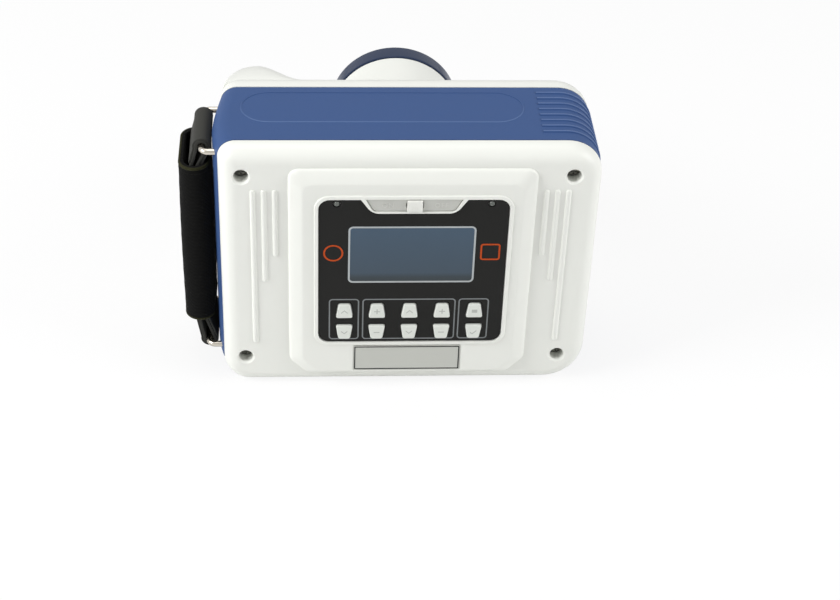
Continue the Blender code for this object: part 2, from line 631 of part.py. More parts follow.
def make_middle_band():
    """Blue band between the shells, with grip ribs, the pressed outline and holes for what passes through."""
    edge = HALF_BAND - GAP / 2
    stations = [(-edge, 0.0), (RIB_FIRST_Y - RIB_PITCH, 0.0)]
    for index in range(RIB_COUNT):
        middle = RIB_FIRST_Y + index * RIB_PITCH
        stations += [
            (middle - RIB_HALF_FOOT, 0.0), (middle - RIB_HALF_TOP, RIB_HEIGHT),
            (middle + RIB_HALF_TOP, RIB_HEIGHT), (middle + RIB_HALF_FOOT, 0.0)]
    stations.append((edge, 0.0))
    rings = [band_ring(y, raised, 0.0) for y, raised in stations]
    inner = (edge, edge / 2, 0.0, -edge / 2, -edge)
    rings += [band_ring(y, 0.0, WALL) for y in inner]
    band = hoop("middle_band", rings, BLUE)
    line = []
    for reach, rise in STADIUM_PROFILE:
        radius = STADIUM_RADIUS + reach
        outline = arc(STADIUM_X + STADIUM_HALF_LENGTH, STADIUM_Y, radius, -90, 180, 8)
        outline += arc(STADIUM_X - STADIUM_HALF_LENGTH, STADIUM_Y, radius, 90, 180, 8)
        line.append(at_z(HEIGHT + rise, outline))
    join(band, hoop("add_pressed_line", line))
    holes = []
    for z in (BAIL_TOP_Z, BAIL_LOW_Z):
        for side in (-1, 1):
            ring = circle(BAIL_WIRE + GAP, side * BAIL_HALF_Y, z, 12)
            holes.append([at_x(x, ring) for x in (-WIDTH / 2 - 8.0 * MM, -WIDTH / 2 + 7.0 * MM)])
    inlet = circle(INLET_RADIUS + GAP, INLET_Y, INLET_Z, 16)
    holes.append([at_x(x, inlet) for x in (WIDTH / 2 - 7.0 * MM, WIDTH / 2 + 3.0 * MM)])
    bush = turned_z(((BUSH_RADIUS + GAP, -WALL), (BUSH_RADIUS + GAP, 2 * WALL)), CONE_X, BUSH_Y, 20)
    cut(band, body("cut_band_holes", holes + [bush], False))


def face_depth(z, inset):
    """Depth of the front face at a height, round its upper and lower fillets, an inset in from it."""
    fillet = FRONT_FILLET - inset
    past = max(z - (HEIGHT - FRONT_FILLET), FRONT_FILLET - z, 0.0)
    return FRONT_FACE_Y - FRONT_FILLET + math.sqrt(fillet ** 2 - min(past, fillet) ** 2)


def grip_fullness(z, shrink):
    """Share of its full size that the grip has at a height, less in its domed ends."""
    rise = max(
        (z - GRIP_TOP_Z + GRIP_TOP_RADIUS) / (GRIP_TOP_RADIUS - shrink),
        (GRIP_LOW_Z + GRIP_LOW_RADIUS - z) / (GRIP_LOW_RADIUS - shrink), 0.0)
    return math.sqrt(1.0 - min(rise, 1.0) ** 2)


def grip_left(z, shrink):
    """How far the grip reaches left of its crest at a height."""
    return (GRIP_LEFT - shrink) * (0.8 + 0.2 * grip_fullness(z, shrink))


def grip_depth(x, z, shrink):
    """Depth of the grip's surface: a quarter of an ellipse on the left, an S-curve to the face on the right."""
    crest = GRIP_FOOT_Y + (GRIP_FRONT_Y - shrink - GRIP_FOOT_Y) * grip_fullness(z, shrink)
    if x < GRIP_X:
        across = min((GRIP_X - x) / grip_left(z, shrink), 1.0)
        return GRIP_FOOT_Y + (crest - GRIP_FOOT_Y) * math.sqrt(1.0 - across ** 2)
    root = face_depth(z, shrink) - GRIP_SINK
    across = min((x - GRIP_X) / (GRIP_RIGHT - shrink), 1.0)
    return root + (crest - root) * (0.5 + 0.5 * math.cos(math.pi * across))


def grip_ring(z, shrink):
    """One level of the grip bulge, shrunk all round by a wall."""
    right = GRIP_X + GRIP_RIGHT - shrink
    places = [right - (right - GRIP_X) * step / GRIP_STEPS for step in range(GRIP_STEPS)]
    turns = [math.radians(90) * step / GRIP_STEPS for step in range(GRIP_STEPS)]
    places += [GRIP_X - grip_left(z, shrink) * math.sin(turn) for turn in turns]
    outline = [(x, grip_depth(x, z, shrink)) for x in places]
    outline += [(GRIP_X - grip_left(z, shrink), GRIP_FOOT_Y), (right, GRIP_FOOT_Y)]
    return at_z(z, outline)


def grip_levels(shrink):
    """Heights of the grip's rings, closer together where it rounds over."""
    low_centre = GRIP_LOW_Z + GRIP_LOW_RADIUS
    top_centre = GRIP_TOP_Z - GRIP_TOP_RADIUS
    angles = [math.radians(angle) for angle in (75, 55, 37, 20, 0)]
    low = [low_centre - (GRIP_LOW_RADIUS - shrink) * math.sin(angle) for angle in angles]
    high = [top_centre + (GRIP_TOP_RADIUS - shrink) * math.sin(angle) for angle in reversed(angles)]
    return low + [(low_centre + top_centre) / 2] + high


def post_tip(x, z):
    """Depth that a screw post reaches: into the face, or into the grip's wall where it stands under it."""
    if x > GRIP_X:
        return POST_TIP_Y
    return min(grip_depth(px, pz, 0.0) for px, pz in circle(POST_TIP_RADIUS, x, z, 12)) - WALL / 3


def make_front_shell():
    """White front shell with the grip bulge, the cone's hole, the trigger's hole and the screw posts."""
    shell = loft("front_shell", filleted(HALF_BAND + GAP / 2, FRONT_FACE_Y, FRONT_FILLET, 0.0, 6), WHITE)
    join(shell, loft("add_grip", [grip_ring(z, 0.0) for z in grip_levels(0.0)]))
    cavity = [at_y(HALF_BAND - 2 * MM, housing_outline(WALL))]
    cavity += filleted(HALF_BAND, FRONT_FACE_Y - WALL, FRONT_FILLET - WALL, WALL)[1:]
    cut(shell, loft("cut_front_cavity", cavity))
    cut(shell, loft("cut_grip_cavity", [grip_ring(z, WALL) for z in grip_levels(WALL)]))
    posts = []
    for x, z in screw_places():
        tip = post_tip(x, z)
        profile = (
            (THREAD_BORE, 0.0), (THREAD_BORE, POST_START_Y), (BOSS_RADIUS, POST_START_Y),
            (BOSS_RADIUS, tip - POST_TAPER), (POST_TIP_RADIUS, tip))
        posts.append(turned_y(profile, x, z, 12))
    join(shell, body("add_posts", posts, False))
    hole = turned_y(
        ((CONE_RADIUS + GAP, CONE_SEAT_Y), (CONE_RADIUS + GAP, FRONT_FACE_Y + 2.0 * MM)), CONE_X, CONE_Z)
    trigger = [
        at_y(y, rounded_box(
            TRIGGER_HALF_X + GAP, TRIGGER_Z - TRIGGER_HALF_Z - GAP, TRIGGER_Z + TRIGGER_HALF_Z + GAP,
            TRIGGER_RADIUS + GAP, TRIGGER_X))
        for y in TRIGGER_HOLE_Y
    ]
    cut(shell, body("cut_cone_and_trigger", [hole, trigger], False))


def make_screws():
    """Pan head screws from the rear shell's counterbores into the front shell's posts."""
    for index, (x, z) in enumerate(screw_places(), start=1):
        head = COUNTERBORE_FLOOR_Y - GAP
        profile = [(radius, head - rise) for radius, rise in SCREW_HEAD]
        profile += [(SCREW_SHANK, head), (SCREW_SHANK, SCREW_END_Y - 1.5 * MM), (SCREW_TIP, SCREW_END_Y)]
        loft(f"housing_screw_{index}", turned_y(profile, x, z, 12), ZINC)


# ---------------------------------------------------------------- control panel

def key_outline(x, z, up, grow=0.0, reach=0.0):
    """Key outline, narrow end up or down."""
    wide = KEY_HALF_WIDE + grow + reach
    narrow = KEY_HALF_NARROW + grow + reach
    half = KEY_HALF_HEIGHT + grow
    low_half, high_half = (wide, narrow) if up else (narrow, wide)
    radius = max(0.9 * MM + grow, 0.2 * MM)
    return rounded_polygon([
        (x + low_half, z - half, radius), (x + high_half, z + half, radius),
        (x - high_half, z + half, radius), (x - low_half, z - half, radius)], 2)


def key_places():
    """Centres of the keys, and whether each is narrow at the top."""
    columns = [SLIDER_X + (column - (KEY_COLUMNS - 1) / 2) * KEY_PITCH for column in range(KEY_COLUMNS)]
    return [(x, KEY_UPPER_Z, True) for x in columns] + [(x, KEY_LOWER_Z, False) for x in columns]


def make_keys():
    """Keys that stand through the panel, each with a flange behind it and a foot over its dome."""
    for index, (x, z, up) in enumerate(key_places(), start=1):
        loft(f"key_{index:02d}", [
            at_y(KEY_TOP_Y, key_outline(x, z, up, -0.5 * MM)),
            at_y(KEY_TOP_Y + 0.4 * MM, key_outline(x, z, up)),
            at_y(KEY_FLANGE_Y, key_outline(x, z, up)),
            at_y(KEY_FLANGE_Y, key_outline(x, z, up, 0.0, KEY_FLANGE_REACH)),
            at_y(KEY_FLANGE_Y + 0.7 * MM, key_outline(x, z, up, 0.0, KEY_FLANGE_REACH)),
            at_y(KEY_FLANGE_Y + 0.7 * MM, key_outline(x, z, up, -1.2 * MM)),
            at_y(KEY_FOOT_Y, key_outline(x, z, up, -1.2 * MM)),
        ], KEY_GREY)


def make_panel():
    """Black panel plate, its display window and the display behind it."""
    panel = loft("control_panel", [
        at_y(PANEL_FACE_Y, panel_outline(-0.2 * MM)), at_y(PANEL_FACE_Y + 0.2 * MM, panel_outline(0.0)),
        at_y(PANEL_BACK_Y, panel_outline(0.0))], BLACK)
    holes = [
        [at_y(y, key_outline(x, z, up, GAP)) for y in (CUT_REAR_Y, CUT_PANEL_Y)] for x, z, up in key_places()]
    holes.append([
        at_y(y, rounded_box(
            DISPLAY_HALF_X + GAP, DISPLAY_LOW_Z - GAP, DISPLAY_HIGH_Z + GAP, DISPLAY_RADIUS + GAP, PANEL_X))
        for y in (CUT_REAR_Y, CUT_PANEL_Y)])
    holes += [lamp_hole(side, CUT_PANEL_Y) for side in (-1, 1)]
    cut(panel, body("cut_panel_holes", holes, False))
    loft("display_window", [
        at_y(y, rounded_box(DISPLAY_HALF_X, DISPLAY_LOW_Z, DISPLAY_HIGH_Z, DISPLAY_RADIUS, PANEL_X))
        for y in (PANEL_FACE_Y, PANEL_BACK_Y)], GLASS)
    loft("display_module", block(*DISPLAY_MODULE, 1.0 * MM), PART_BLACK)


def make_boards():
    """Key board with a dome under each key, and the driver board by the source."""
    board = loft("key_board", block(*KEY_BOARD, 2.0 * MM), BOARD_GREEN)
    dome = (
        (DOME_HALF_TOP, BOARD_FRONT_Y - DOME_HEIGHT), (DOME_HALF_FOOT, BOARD_FRONT_Y),
        (DOME_HALF_FOOT, BOARD_FRONT_Y + 1.0 * MM))
    domes = [turned_y(dome, x, z, 10) for x, z, _ in key_places()]
    chips = [
        block((x, BOARD_BACK_Y - 0.5 * MM, z), (x + CHIP_SIZE, BOARD_BACK_Y + CHIP_HEIGHT, z + CHIP_SIZE))
        for x, z in CHIP_CORNERS
    ]
    join(board, body("add_domes_and_chips", domes + chips, False))
    cut(board, loft("cut_board_notch", block(*SWITCH_NOTCH)))
    driver = loft("driver_board", block(*DRIVER_BOARD), BOARD_GREEN)
    parts = [block(*DRIVER_CORE), block(*DRIVER_SINK)]
    parts += [turned_y(CAPACITOR_PROFILE, CAPACITOR_X, z, 16) for z in CAPACITOR_Z]
    join(driver, body("add_driver_parts", parts, False))


def make_power_slider():
    """Recess plate, slider with its skirt, and the slide switch behind."""
    plate_back = RECESS_FLOOR_Y - GAP
    plate = loft("switch_plate", [
        at_y(y, recess_outline(0.0)) for y in (plate_back - PLATE_THICK, plate_back)], PALE_GREY)
    cut(plate, loft("cut_plate_slot", block(
        (SLIDER_X - SLOT_HALF_X, CUT_REAR_Y, SLIDER_Z - SLOT_HALF_Z),
        (SLIDER_X + SLOT_HALF_X, CUT_PANEL_Y, SLIDER_Z + SLOT_HALF_Z))))
    edge = 0.3 * MM
    steps = (
        (SLIDER_TOP_Y, (SLIDER_HALF_X - edge, SLIDER_HALF_Z - edge)),
        (SLIDER_TOP_Y + edge, (SLIDER_HALF_X, SLIDER_HALF_Z)), (SLIDER_FOOT_Y, (SLIDER_HALF_X, SLIDER_HALF_Z)),
        (SLIDER_FOOT_Y, SLIDER_STEM), (SLIDER_SKIRT_Y, SLIDER_STEM), (SLIDER_SKIRT_Y, SLIDER_SKIRT),
        (SLIDER_SKIRT_Y + 0.6 * MM, SLIDER_SKIRT))
    loft("power_slider", [
        at_y(y, rounded_box(half_x, SLIDER_Z - half_z, SLIDER_Z + half_z, 0.4 * MM, SLIDER_X, 2))
        for y, (half_x, half_z) in steps
    ], SLIDER_WHITE)
    loft("slide_switch", block(*SWITCH), ZINC)


def make_lamps():
    """Power and exposure lamps, standing on the key board."""
    for name, side in (("power_lamp", -1), ("exposure_lamp", 1)):
        profile = LAMP_PROFILE + ((LAMP_PROFILE[-1][0], BOARD_FRONT_Y - GAP),)
        loft(name, turned_y(profile, PANEL_X + side * LAMP_HALF_SPACING, LAMP_Z, 12), LAMP_CLEAR)


def make_name_plate():
    """Bare plate in its shallow recess under the panel."""
    loft("name_plate", [
        at_y(y, rounded_box(PLATE_HALF_X, PLATE_LOW_Z, PLATE_HIGH_Z, 0.5 * MM, PANEL_X, 2))
        for y in NAME_PLATE_Y], PLATE_GREY)


# ---------------------------------------------------------------- cone and source

def make_cone():
    """Aiming cone with its flange, end ring, lead liner, seal, collimator and filter."""
    def ring(name, inner, outer, ends, steps, finish):
        profile = ((inner, ends[0]), (outer, ends[0]), (outer, ends[1]), (inner, ends[1]))
        hoop(name, turned_y(profile, CONE_X, CONE_Z, steps), finish)

    hoop("cone_barrel", turned_y((
        (CONE_BORE, CONE_FLANGE_Y), (CONE_FLANGE_RADIUS, CONE_FLANGE_Y), (CONE_FLANGE_RADIUS, CONE_SEAT_Y),
        (CONE_RADIUS, CONE_SEAT_Y), (CONE_RADIUS, CONE_END_Y), (CONE_BORE, CONE_END_Y)), CONE_X, CONE_Z), WHITE)
    start = CONE_END_Y + GAP
    hoop("cone_end_ring", turned_y((
        (RING_BORE, start), (RING_RADIUS - 0.6 * MM, start), (RING_RADIUS, start + 0.8 * MM),
        (RING_RADIUS, RING_END_Y - 1.2 * MM), (RING_RADIUS - 0.4 * MM, RING_END_Y - 0.4 * MM),
        (RING_RADIUS - 1.2 * MM, RING_END_Y), (RING_BORE + 0.6 * MM, RING_END_Y),
        (RING_BORE, RING_END_Y - 0.6 * MM)), CONE_X, CONE_Z), NAVY)
    margin = 0.5 * MM
    ring("cone_liner", LINER_BORE, LINER_OUTER, LINER_Y, INNER_STEPS, LEAD)
    ring("cone_seal", CONE_RADIUS + margin, CONE_FLANGE_RADIUS - margin, SEAL_Y, INNER_STEPS, RUBBER)
    ring("beam_collimator", BEAM_HALF, LINER_OUTER, COLLIMATOR_Y, INNER_STEPS, LEAD)
    loft("beam_filter", turned_y([(FILTER_RADIUS, y) for y in FILTER_Y], CONE_X, CONE_Z, INNER_STEPS), ALUMINIUM)


def make_source():
    """Shielded tank with its lid, the x-ray tube, the high voltage coil, the battery and the buzzer."""
    (left, rear, low), (right, front, high) = TANK
    tank = loft("tank_body", block(*TANK, TANK_RADIUS), ALUMINIUM)
    cut(tank, loft("cut_tank", block(
        (left + TANK_WALL, rear + TANK_WALL, low + TANK_WALL),
        (right - TANK_WALL, front + TANK_WALL, high - TANK_WALL), TANK_RADIUS / 2)))
    lid = loft("tank_lid", block((left, LID_Y[0], low), (right, LID_Y[1], high), TANK_RADIUS), ALUMINIUM)
    port = [(BEAM_HALF, LID_Y[0] - WALL), (BEAM_HALF, LID_Y[1] + WALL)]
    cut(lid, loft("cut_beam_port", turned_y(port, CONE_X, CONE_Z, 24)))
    loft("xray_tube", [at_x(x, circle(radius, TUBE_Y, CONE_Z, 16)) for x, radius in TUBE_PROFILE], CLEAR_GLASS)
    loft("high_voltage_coil", turned_y(COIL_PROFILE, COIL_X, COIL_Z, 16), COPPER)
    loft("battery_pack", block(*BATTERY, 3.0 * MM), PART_BLACK)
    loft("buzzer", turned_y([(BUZZER_RADIUS, y) for y in BUZZER_Y], BUZZER_X, BUZZER_Z, 20), PART_BLACK)


# ---------------------------------------------------------------- grip, inlet and base

def make_trigger():
    """Exposure trigger in the grip's front, its switch and the bracket that carries it."""
    loft("exposure_trigger", [
        at_y(y, rounded_box(
            TRIGGER_HALF_X + grow, TRIGGER_Z - TRIGGER_HALF_Z - grow, TRIGGER_Z + TRIGGER_HALF_Z + grow,
            TRIGGER_RADIUS + min(grow, 0.0), TRIGGER_X))
        for y, grow in TRIGGER_PROFILE
    ], BLUE)
    loft("trigger_switch", block(*TRIGGER_SWITCH), PART_BLACK)
    loft("trigger_bracket", block(*TRIGGER_BRACKET, 2.0 * MM), ZINC)


def make_inlet():
    """Charging inlet in the band's right side: flanged barrel with a blind socket and its pin."""
    loft("charging_inlet", [at_x(x, circle(radius, INLET_Y, INLET_Z, 16)) for radius, x in INLET_PROFILE], PART_BLACK)


def make_tripod_bush():
    """Brass bush in the base, open below, with a flange on the band's floor."""
    loft("tripod_bush", turned_z(BUSH_PROFILE, CONE_X, BUSH_Y, 20), BRASS)


# ---------------------------------------------------------------- strap

def swept(points, radius, sides):
    """Rings square to a path in one level plane, for a round wire."""
    rings = []
    for index, point in enumerate(points):
        back = points[max(index - 1, 0)]
        ahead = points[min(index + 1, len(points) - 1)]
        along = math.atan2(ahead[1] - back[1], ahead[0] - back[0])
        out = (-math.sin(along), math.cos(along))
        ring = []
        for side in range(sides):
            turn = 2 * math.pi * side / sides
            reach = radius * math.cos(turn)
            ring.append((point[0] + out[0] * reach, point[1] + out[1] * reach, point[2] + radius * math.sin(turn)))
        rings.append(ring)
    return rings


def make_bails():
    """Wire bails through the band's left side, and the plates they are clamped by."""
    ends = (BAIL_INNER_X, BAIL_X + BAIL_BEND)
    for name, z in (("top", BAIL_TOP_Z), ("low", BAIL_LOW_Z)):
        path = [(ends[0], -BAIL_HALF_Y)]
        path += reversed(arc(ends[1], -BAIL_HALF_Y + BAIL_BEND, BAIL_BEND, 180, 90, 5))
        path += reversed(arc(ends[1], BAIL_HALF_Y - BAIL_BEND, BAIL_BEND, 90, 90, 5))
        path.append((ends[0], BAIL_HALF_Y))
        loft(f"strap_bail_{name}", swept([(x, y, z) for x, y in path], BAIL_WIRE, 9), NICKEL)
        plate = loft(f"bail_plate_{name}", block(
            (BAIL_PLATE_X[0], -BAIL_PLATE_HALF_Y, z - BAIL_PLATE_HALF_Z),
            (BAIL_PLATE_X[1], BAIL_PLATE_HALF_Y, z + BAIL_PLATE_HALF_Z)), ZINC)
        holes = [
            [at_x(x, circle(BAIL_WIRE + GAP, side * BAIL_HALF_Y, z, 12))
             for x in (BAIL_PLATE_X[0] - WALL, BAIL_PLATE_X[1] + WALL)]
            for side in (-1, 1)
        ]
        cut(plate, body(f"cut_bail_plate_{name}", holes, False))


def make_strap():
    """Webbing that loops round both bails, and the oval pad it runs through."""
    turn_radius = BAIL_WIRE + GAP + STRAP_THICK / 2
    top = arc(BAIL_X, BAIL_TOP_Z, turn_radius, -20, 220, 8)
    low = arc(BAIL_X, BAIL_LOW_Z, turn_radius, 160, 220, 8)
    outer_side = [(PAD_X - STRAP_HALF_GAP, PAD_HIGH_Z - 2 * MM), (PAD_X - STRAP_HALF_GAP, PAD_LOW_Z + 2 * MM)]
    inner_side = [(PAD_X + STRAP_HALF_GAP, PAD_LOW_Z + 2 * MM), (PAD_X + STRAP_HALF_GAP, PAD_HIGH_Z - 2 * MM)]
    path = top + outer_side + low + inner_side
    count = len(path)
    inner = []
    outer = []
    for index, (x, z) in enumerate(path):
        back = path[index - 1]
        ahead = path[(index + 1) % count]
        along = math.atan2(ahead[1] - back[1], ahead[0] - back[0])
        reach = STRAP_THICK / 2
        outer.append((x + math.sin(along) * reach, z - math.cos(along) * reach))
        inner.append((x - math.sin(along) * reach, z + math.cos(along) * reach))
    hoop("strap_webbing", [
        at_y(-STRAP_HALF_Y, outer), at_y(STRAP_HALF_Y, outer), at_y(STRAP_HALF_Y, inner),
        at_y(-STRAP_HALF_Y, inner)], WEB_BLACK)
    rim = [(PAD_LOW_Z, PAD_RIM)]
    span = (PAD_HIGH_Z - PAD_LOW_Z - 2 * PAD_RIM) / (PAD_LEVELS - 1)
    outside = [(PAD_LOW_Z + PAD_RIM + span * level, 0.0) for level in range(PAD_LEVELS)]
    inside = [(PAD_HIGH_Z, PAD_WALL), (PAD_LOW_Z, PAD_WALL)]
    levels = rim + outside + [(PAD_HIGH_Z, PAD_RIM)] + inside
    hoop("strap_pad", [at_z(z, pad_outline(z, wall)) for z, wall in levels], SOFT_BLACK)


def pad_outline(z, wall):
    """Flattened oval of the pad's tube at a height, fullest at its middle, a wall in from its outside."""
    along = (z - PAD_LOW_Z) / (PAD_HIGH_Z - PAD_LOW_Z)
    half_x = PAD_HALF_X * (1.0 - PAD_WAIST * (1.0 - math.sin(math.pi * along))) - wall
    straight = PAD_HALF_Y - PAD_HALF_X
    outline = arc(PAD_X, straight, half_x, 0, 180, 8)
    outline += arc(PAD_X, -straight, half_x, 180, 180, 8)
    return outline


def main():
    """Build the whole unit in an emptied scene."""
    for existing in list(bpy.data.objects):
        bpy.data.objects.remove(existing, do_unlink=True)
    make_rear_shell()
    make_middle_band()
    make_front_shell()
    make_screws()
    make_panel()
    make_keys()
    make_boards()
    make_power_slider()
    make_lamps()
    make_name_plate()
    make_cone()
    make_source()
    make_trigger()
    make_inlet()
    make_tripod_bush()
    make_bails()
    make_strap()


main()
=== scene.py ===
"""Looks of a hand-held intraoral x-ray unit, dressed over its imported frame.

Metres, +Z up. The operator stands on the -Y side and reads the panel; the beam leaves along +Y.
"""
from __future__ import annotations

import logging
import math
from collections.abc import Callable, Sequence
from dataclasses import dataclass
from enum import Enum

import bmesh
import bpy
from mathutils import Matrix, Vector


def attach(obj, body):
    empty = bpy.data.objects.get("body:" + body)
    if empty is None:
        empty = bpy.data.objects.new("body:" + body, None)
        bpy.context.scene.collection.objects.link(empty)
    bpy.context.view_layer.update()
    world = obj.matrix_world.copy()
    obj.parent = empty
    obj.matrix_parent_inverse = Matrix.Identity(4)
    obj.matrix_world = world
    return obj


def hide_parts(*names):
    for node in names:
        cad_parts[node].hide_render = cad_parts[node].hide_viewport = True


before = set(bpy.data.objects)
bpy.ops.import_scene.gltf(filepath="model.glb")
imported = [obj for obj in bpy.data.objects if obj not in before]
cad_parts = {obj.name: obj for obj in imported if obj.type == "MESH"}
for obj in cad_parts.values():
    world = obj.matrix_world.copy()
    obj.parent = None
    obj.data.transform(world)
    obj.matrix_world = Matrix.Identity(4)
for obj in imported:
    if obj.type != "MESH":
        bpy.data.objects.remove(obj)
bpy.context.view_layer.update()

log = logging.getLogger("x_ray_unit")

MM = 0.001
HOUSING = "housing"
# Depths where cutters start before the panel, and end behind its film or inside the housing.
NEAR, FAR, DEEP = -40 * MM, -30 * MM, -20 * MM
BOTH_SIDES = (-1, 1)
Piece = bpy.types.Object
Node = bpy.types.Node
Tree = bpy.types.NodeTree
Pair = tuple[float, float]
Point = tuple[float, float, float]
Test = Callable[[Vector], bool]


# ---------------------------------------------------------------- finishes

class Relief(Enum):
    """Kinds of fine surface relief."""

    NONE = "none"
    MOULDED = "moulded"
    SPARK = "spark eroded"
    WOVEN = "woven"
    KNIT = "knit"
    BRUSHED = "brushed"


def add_node(tree: Tree, kind: str, operation: str = "", **values: object) -> Node:
    """Add a shader node.

    Args:
        tree: The tree that gets it.
        kind: Its type without the leading ShaderNode.
        operation: Its operation, where it has one.
        **values: Values of its inputs, with underscores for the spaces in their names.

    Returns:
        The node.
    """
    made = tree.nodes.new("ShaderNode" + kind)
    if operation:
        made.operation = operation
    set_inputs(made, **values)
    return made


def set_inputs(node: Node, **values: object) -> None:
    """Set a node's inputs, with underscores for the spaces in their names."""
    for name, value in values.items():
        node.inputs[name.replace("_", " ")].default_value = value


def connect(tree: Tree, *links: tuple[Node, str | int, Node, str | int]) -> None:
    """Make links, each given as a node, its output, the next node and its input."""
    for source, output, target, entry in links:
        tree.links.new(source.outputs[output], target.inputs[entry])


def new_group(name: str, inputs: dict[str, object], outputs: Sequence[str]) -> tuple[Tree, Node, Node]:
    """Start a shader node group. A socket named Color carries a colour, any other a number.

    Args:
        name: Name of the group.
        inputs: Names and values of its inputs.
        outputs: Names of its outputs.

    Returns:
        The group, its input node and its output node.
    """
    group = bpy.data.node_groups.new(name, "ShaderNodeTree")
    for socket in (*inputs, *outputs):
        way = "INPUT" if len(group.interface.items_tree) < len(inputs) else "OUTPUT"
        kind = "NodeSocketColor" if socket == "Color" else "NodeSocketFloat"
        made = group.interface.new_socket(name=socket, in_out=way, socket_type=kind)
        if way == "INPUT":
            made.default_value = inputs[socket]
    return group, group.nodes.new("NodeGroupInput"), group.nodes.new("NodeGroupOutput")


def tone_group() -> Tree:
    """Node group that drifts a colour and a roughness slowly over a surface.

    Returns:
        The group, built on the first call.
    """
    found = bpy.data.node_groups.get("slow tone drift")
    if found:
        return found
    inputs = {"Color": (0.8, 0.8, 0.8, 1.0), "Roughness": 0.4, "Patch Scale": 60.0, "Color Drift": 0.04,
              "Roughness Drift": 0.08}
    group, inward, outward = new_group("slow tone drift", inputs, ("Color", "Roughness"))
    place = add_node(group, "TexCoord")
    noise = add_node(group, "TexNoise", Detail=4.0)
    centred = add_node(group, "Math", "SUBTRACT")
    centred.inputs[1].default_value = 0.5
    shade = add_node(group, "Math", "MULTIPLY_ADD")
    shade.inputs[2].default_value = 1.0
    tint = add_node(group, "VectorMath", "SCALE")
    rough = add_node(group, "Math", "MULTIPLY_ADD")
    connect(
        group, (place, "Object", noise, "Vector"), (inward, "Patch Scale", noise, "Scale"), (noise, "Fac", centred, 0),
        (centred, 0, shade, 0), (inward, "Color Drift", shade, 1), (inward, "Color", tint, 0),
        (shade, 0, tint, "Scale"), (tint, "Vector", outward, "Color"), (centred, 0, rough, 0),
        (inward, "Roughness Drift", rough, 1), (inward, "Roughness", rough, 2), (rough, 0, outward, "Roughness"))
    return group


def grain_group() -> Tree:
    """Node group that gives the height of a moulded or eroded grain.

    Returns:
        The group, built on the first call.
    """
    found = bpy.data.node_groups.get("moulded grain")
    if found:
        return found
    group, inward, outward = new_group("moulded grain", {"Scale": 2500.0}, ("Height",))
    place = add_node(group, "TexCoord")
    fine = add_node(group, "TexNoise", Detail=3.0, Roughness=0.6)
    connect(group, (place, "Object", fine, "Vector"), (inward, "Scale", fine, "Scale"),
            (fine, "Fac", outward, "Height"))
    return group


def weave_group() -> Tree:
    """Node group that gives the height of crossing threads.

    Returns:
        The group, built on the first call.
    """
    found = bpy.data.node_groups.get("crossing threads")
    if found:
        return found
    group, inward, outward = new_group("crossing threads", {"Across": 900.0, "Along": 500.0}, ("Height",))
    place = add_node(group, "TexCoord")
    apart = add_node(group, "SeparateXYZ")
    crossed = add_node(group, "Math", "MULTIPLY")
    connect(group, (place, "Object", apart, 0), (crossed, 0, outward, "Height"))
    for entry, (axis, density) in enumerate((("Y", "Across"), ("Z", "Along"))):
        scaled = add_node(group, "Math", "MULTIPLY")
        wave = add_node(group, "Math", "SINE")
        connect(group, (apart, axis, scaled, 0), (inward, density, scaled, 1), (scaled, 0, wave, 0),
                (wave, 0, crossed, entry))
    return group


@dataclass(frozen=True)
class Finish:
    """One surface finish and the record slot that it belongs to."""

    name: str
    slot: str
    color: tuple[float, float, float]
    roughness: float
    metallic: float = 0.0
    relief: Relief = Relief.MOULDED
    relief_depth: float = 0.15
    relief_scale: float = 2500.0
    coat: float = 0.0
    sheen: float = 0.0
    drift: float = 0.04
    patch_scale: float = 60.0
    transmission: float = 0.0
    gloss: float = 0.35

    def material(self) -> bpy.types.Material:
        """Build this finish's material on the first call.

        Returns:
            The material.
        """
        found = bpy.data.materials.get(self.name)
        if found:
            return found
        made = bpy.data.materials.new(self.name)
        made.use_nodes = True
        made.diffuse_color = (*self.color, 1.0)
        tree = made.node_tree
        shader = tree.nodes["Principled BSDF"]
        set_inputs(shader, Metallic=self.metallic, Specular_IOR_Level=self.gloss, Coat_Weight=self.coat,
                   Coat_Roughness=0.08, Sheen_Weight=self.sheen, Transmission_Weight=self.transmission)
        tone = add_node(tree, "Group")
        tone.node_tree = tone_group()
        set_inputs(tone, Color=(*self.color, 1.0), Roughness=self.roughness, Patch_Scale=self.patch_scale,
                   Color_Drift=self.drift)
        connect(tree, (tone, "Color", shader, "Base Color"), (tone, "Roughness", shader, "Roughness"))
        self._raise_relief(tree, shader)
        return made

    def _raise_relief(self, tree: Tree, shader: Node) -> None:
        """Wire this finish's relief into the shader's normal.

        Args:
            tree: The material's node tree.
            shader: Its Principled BSDF.
        """
        if self.relief is Relief.NONE:
            return
        relief = add_node(tree, "Group")
        if self.relief in (Relief.WOVEN, Relief.KNIT):
            relief.node_tree = weave_group()
            set_inputs(relief, Across=self.relief_scale, Along=self.relief_scale * 0.6)
        else:
            relief.node_tree = grain_group()
            set_inputs(relief, Scale=self.relief_scale)
        bump = add_node(tree, "Bump", Strength=self.relief_depth, Distance=0.2 * MM)
        connect(tree, (relief, "Height", bump, "Height"), (bump, "Normal", shader, "Normal"))


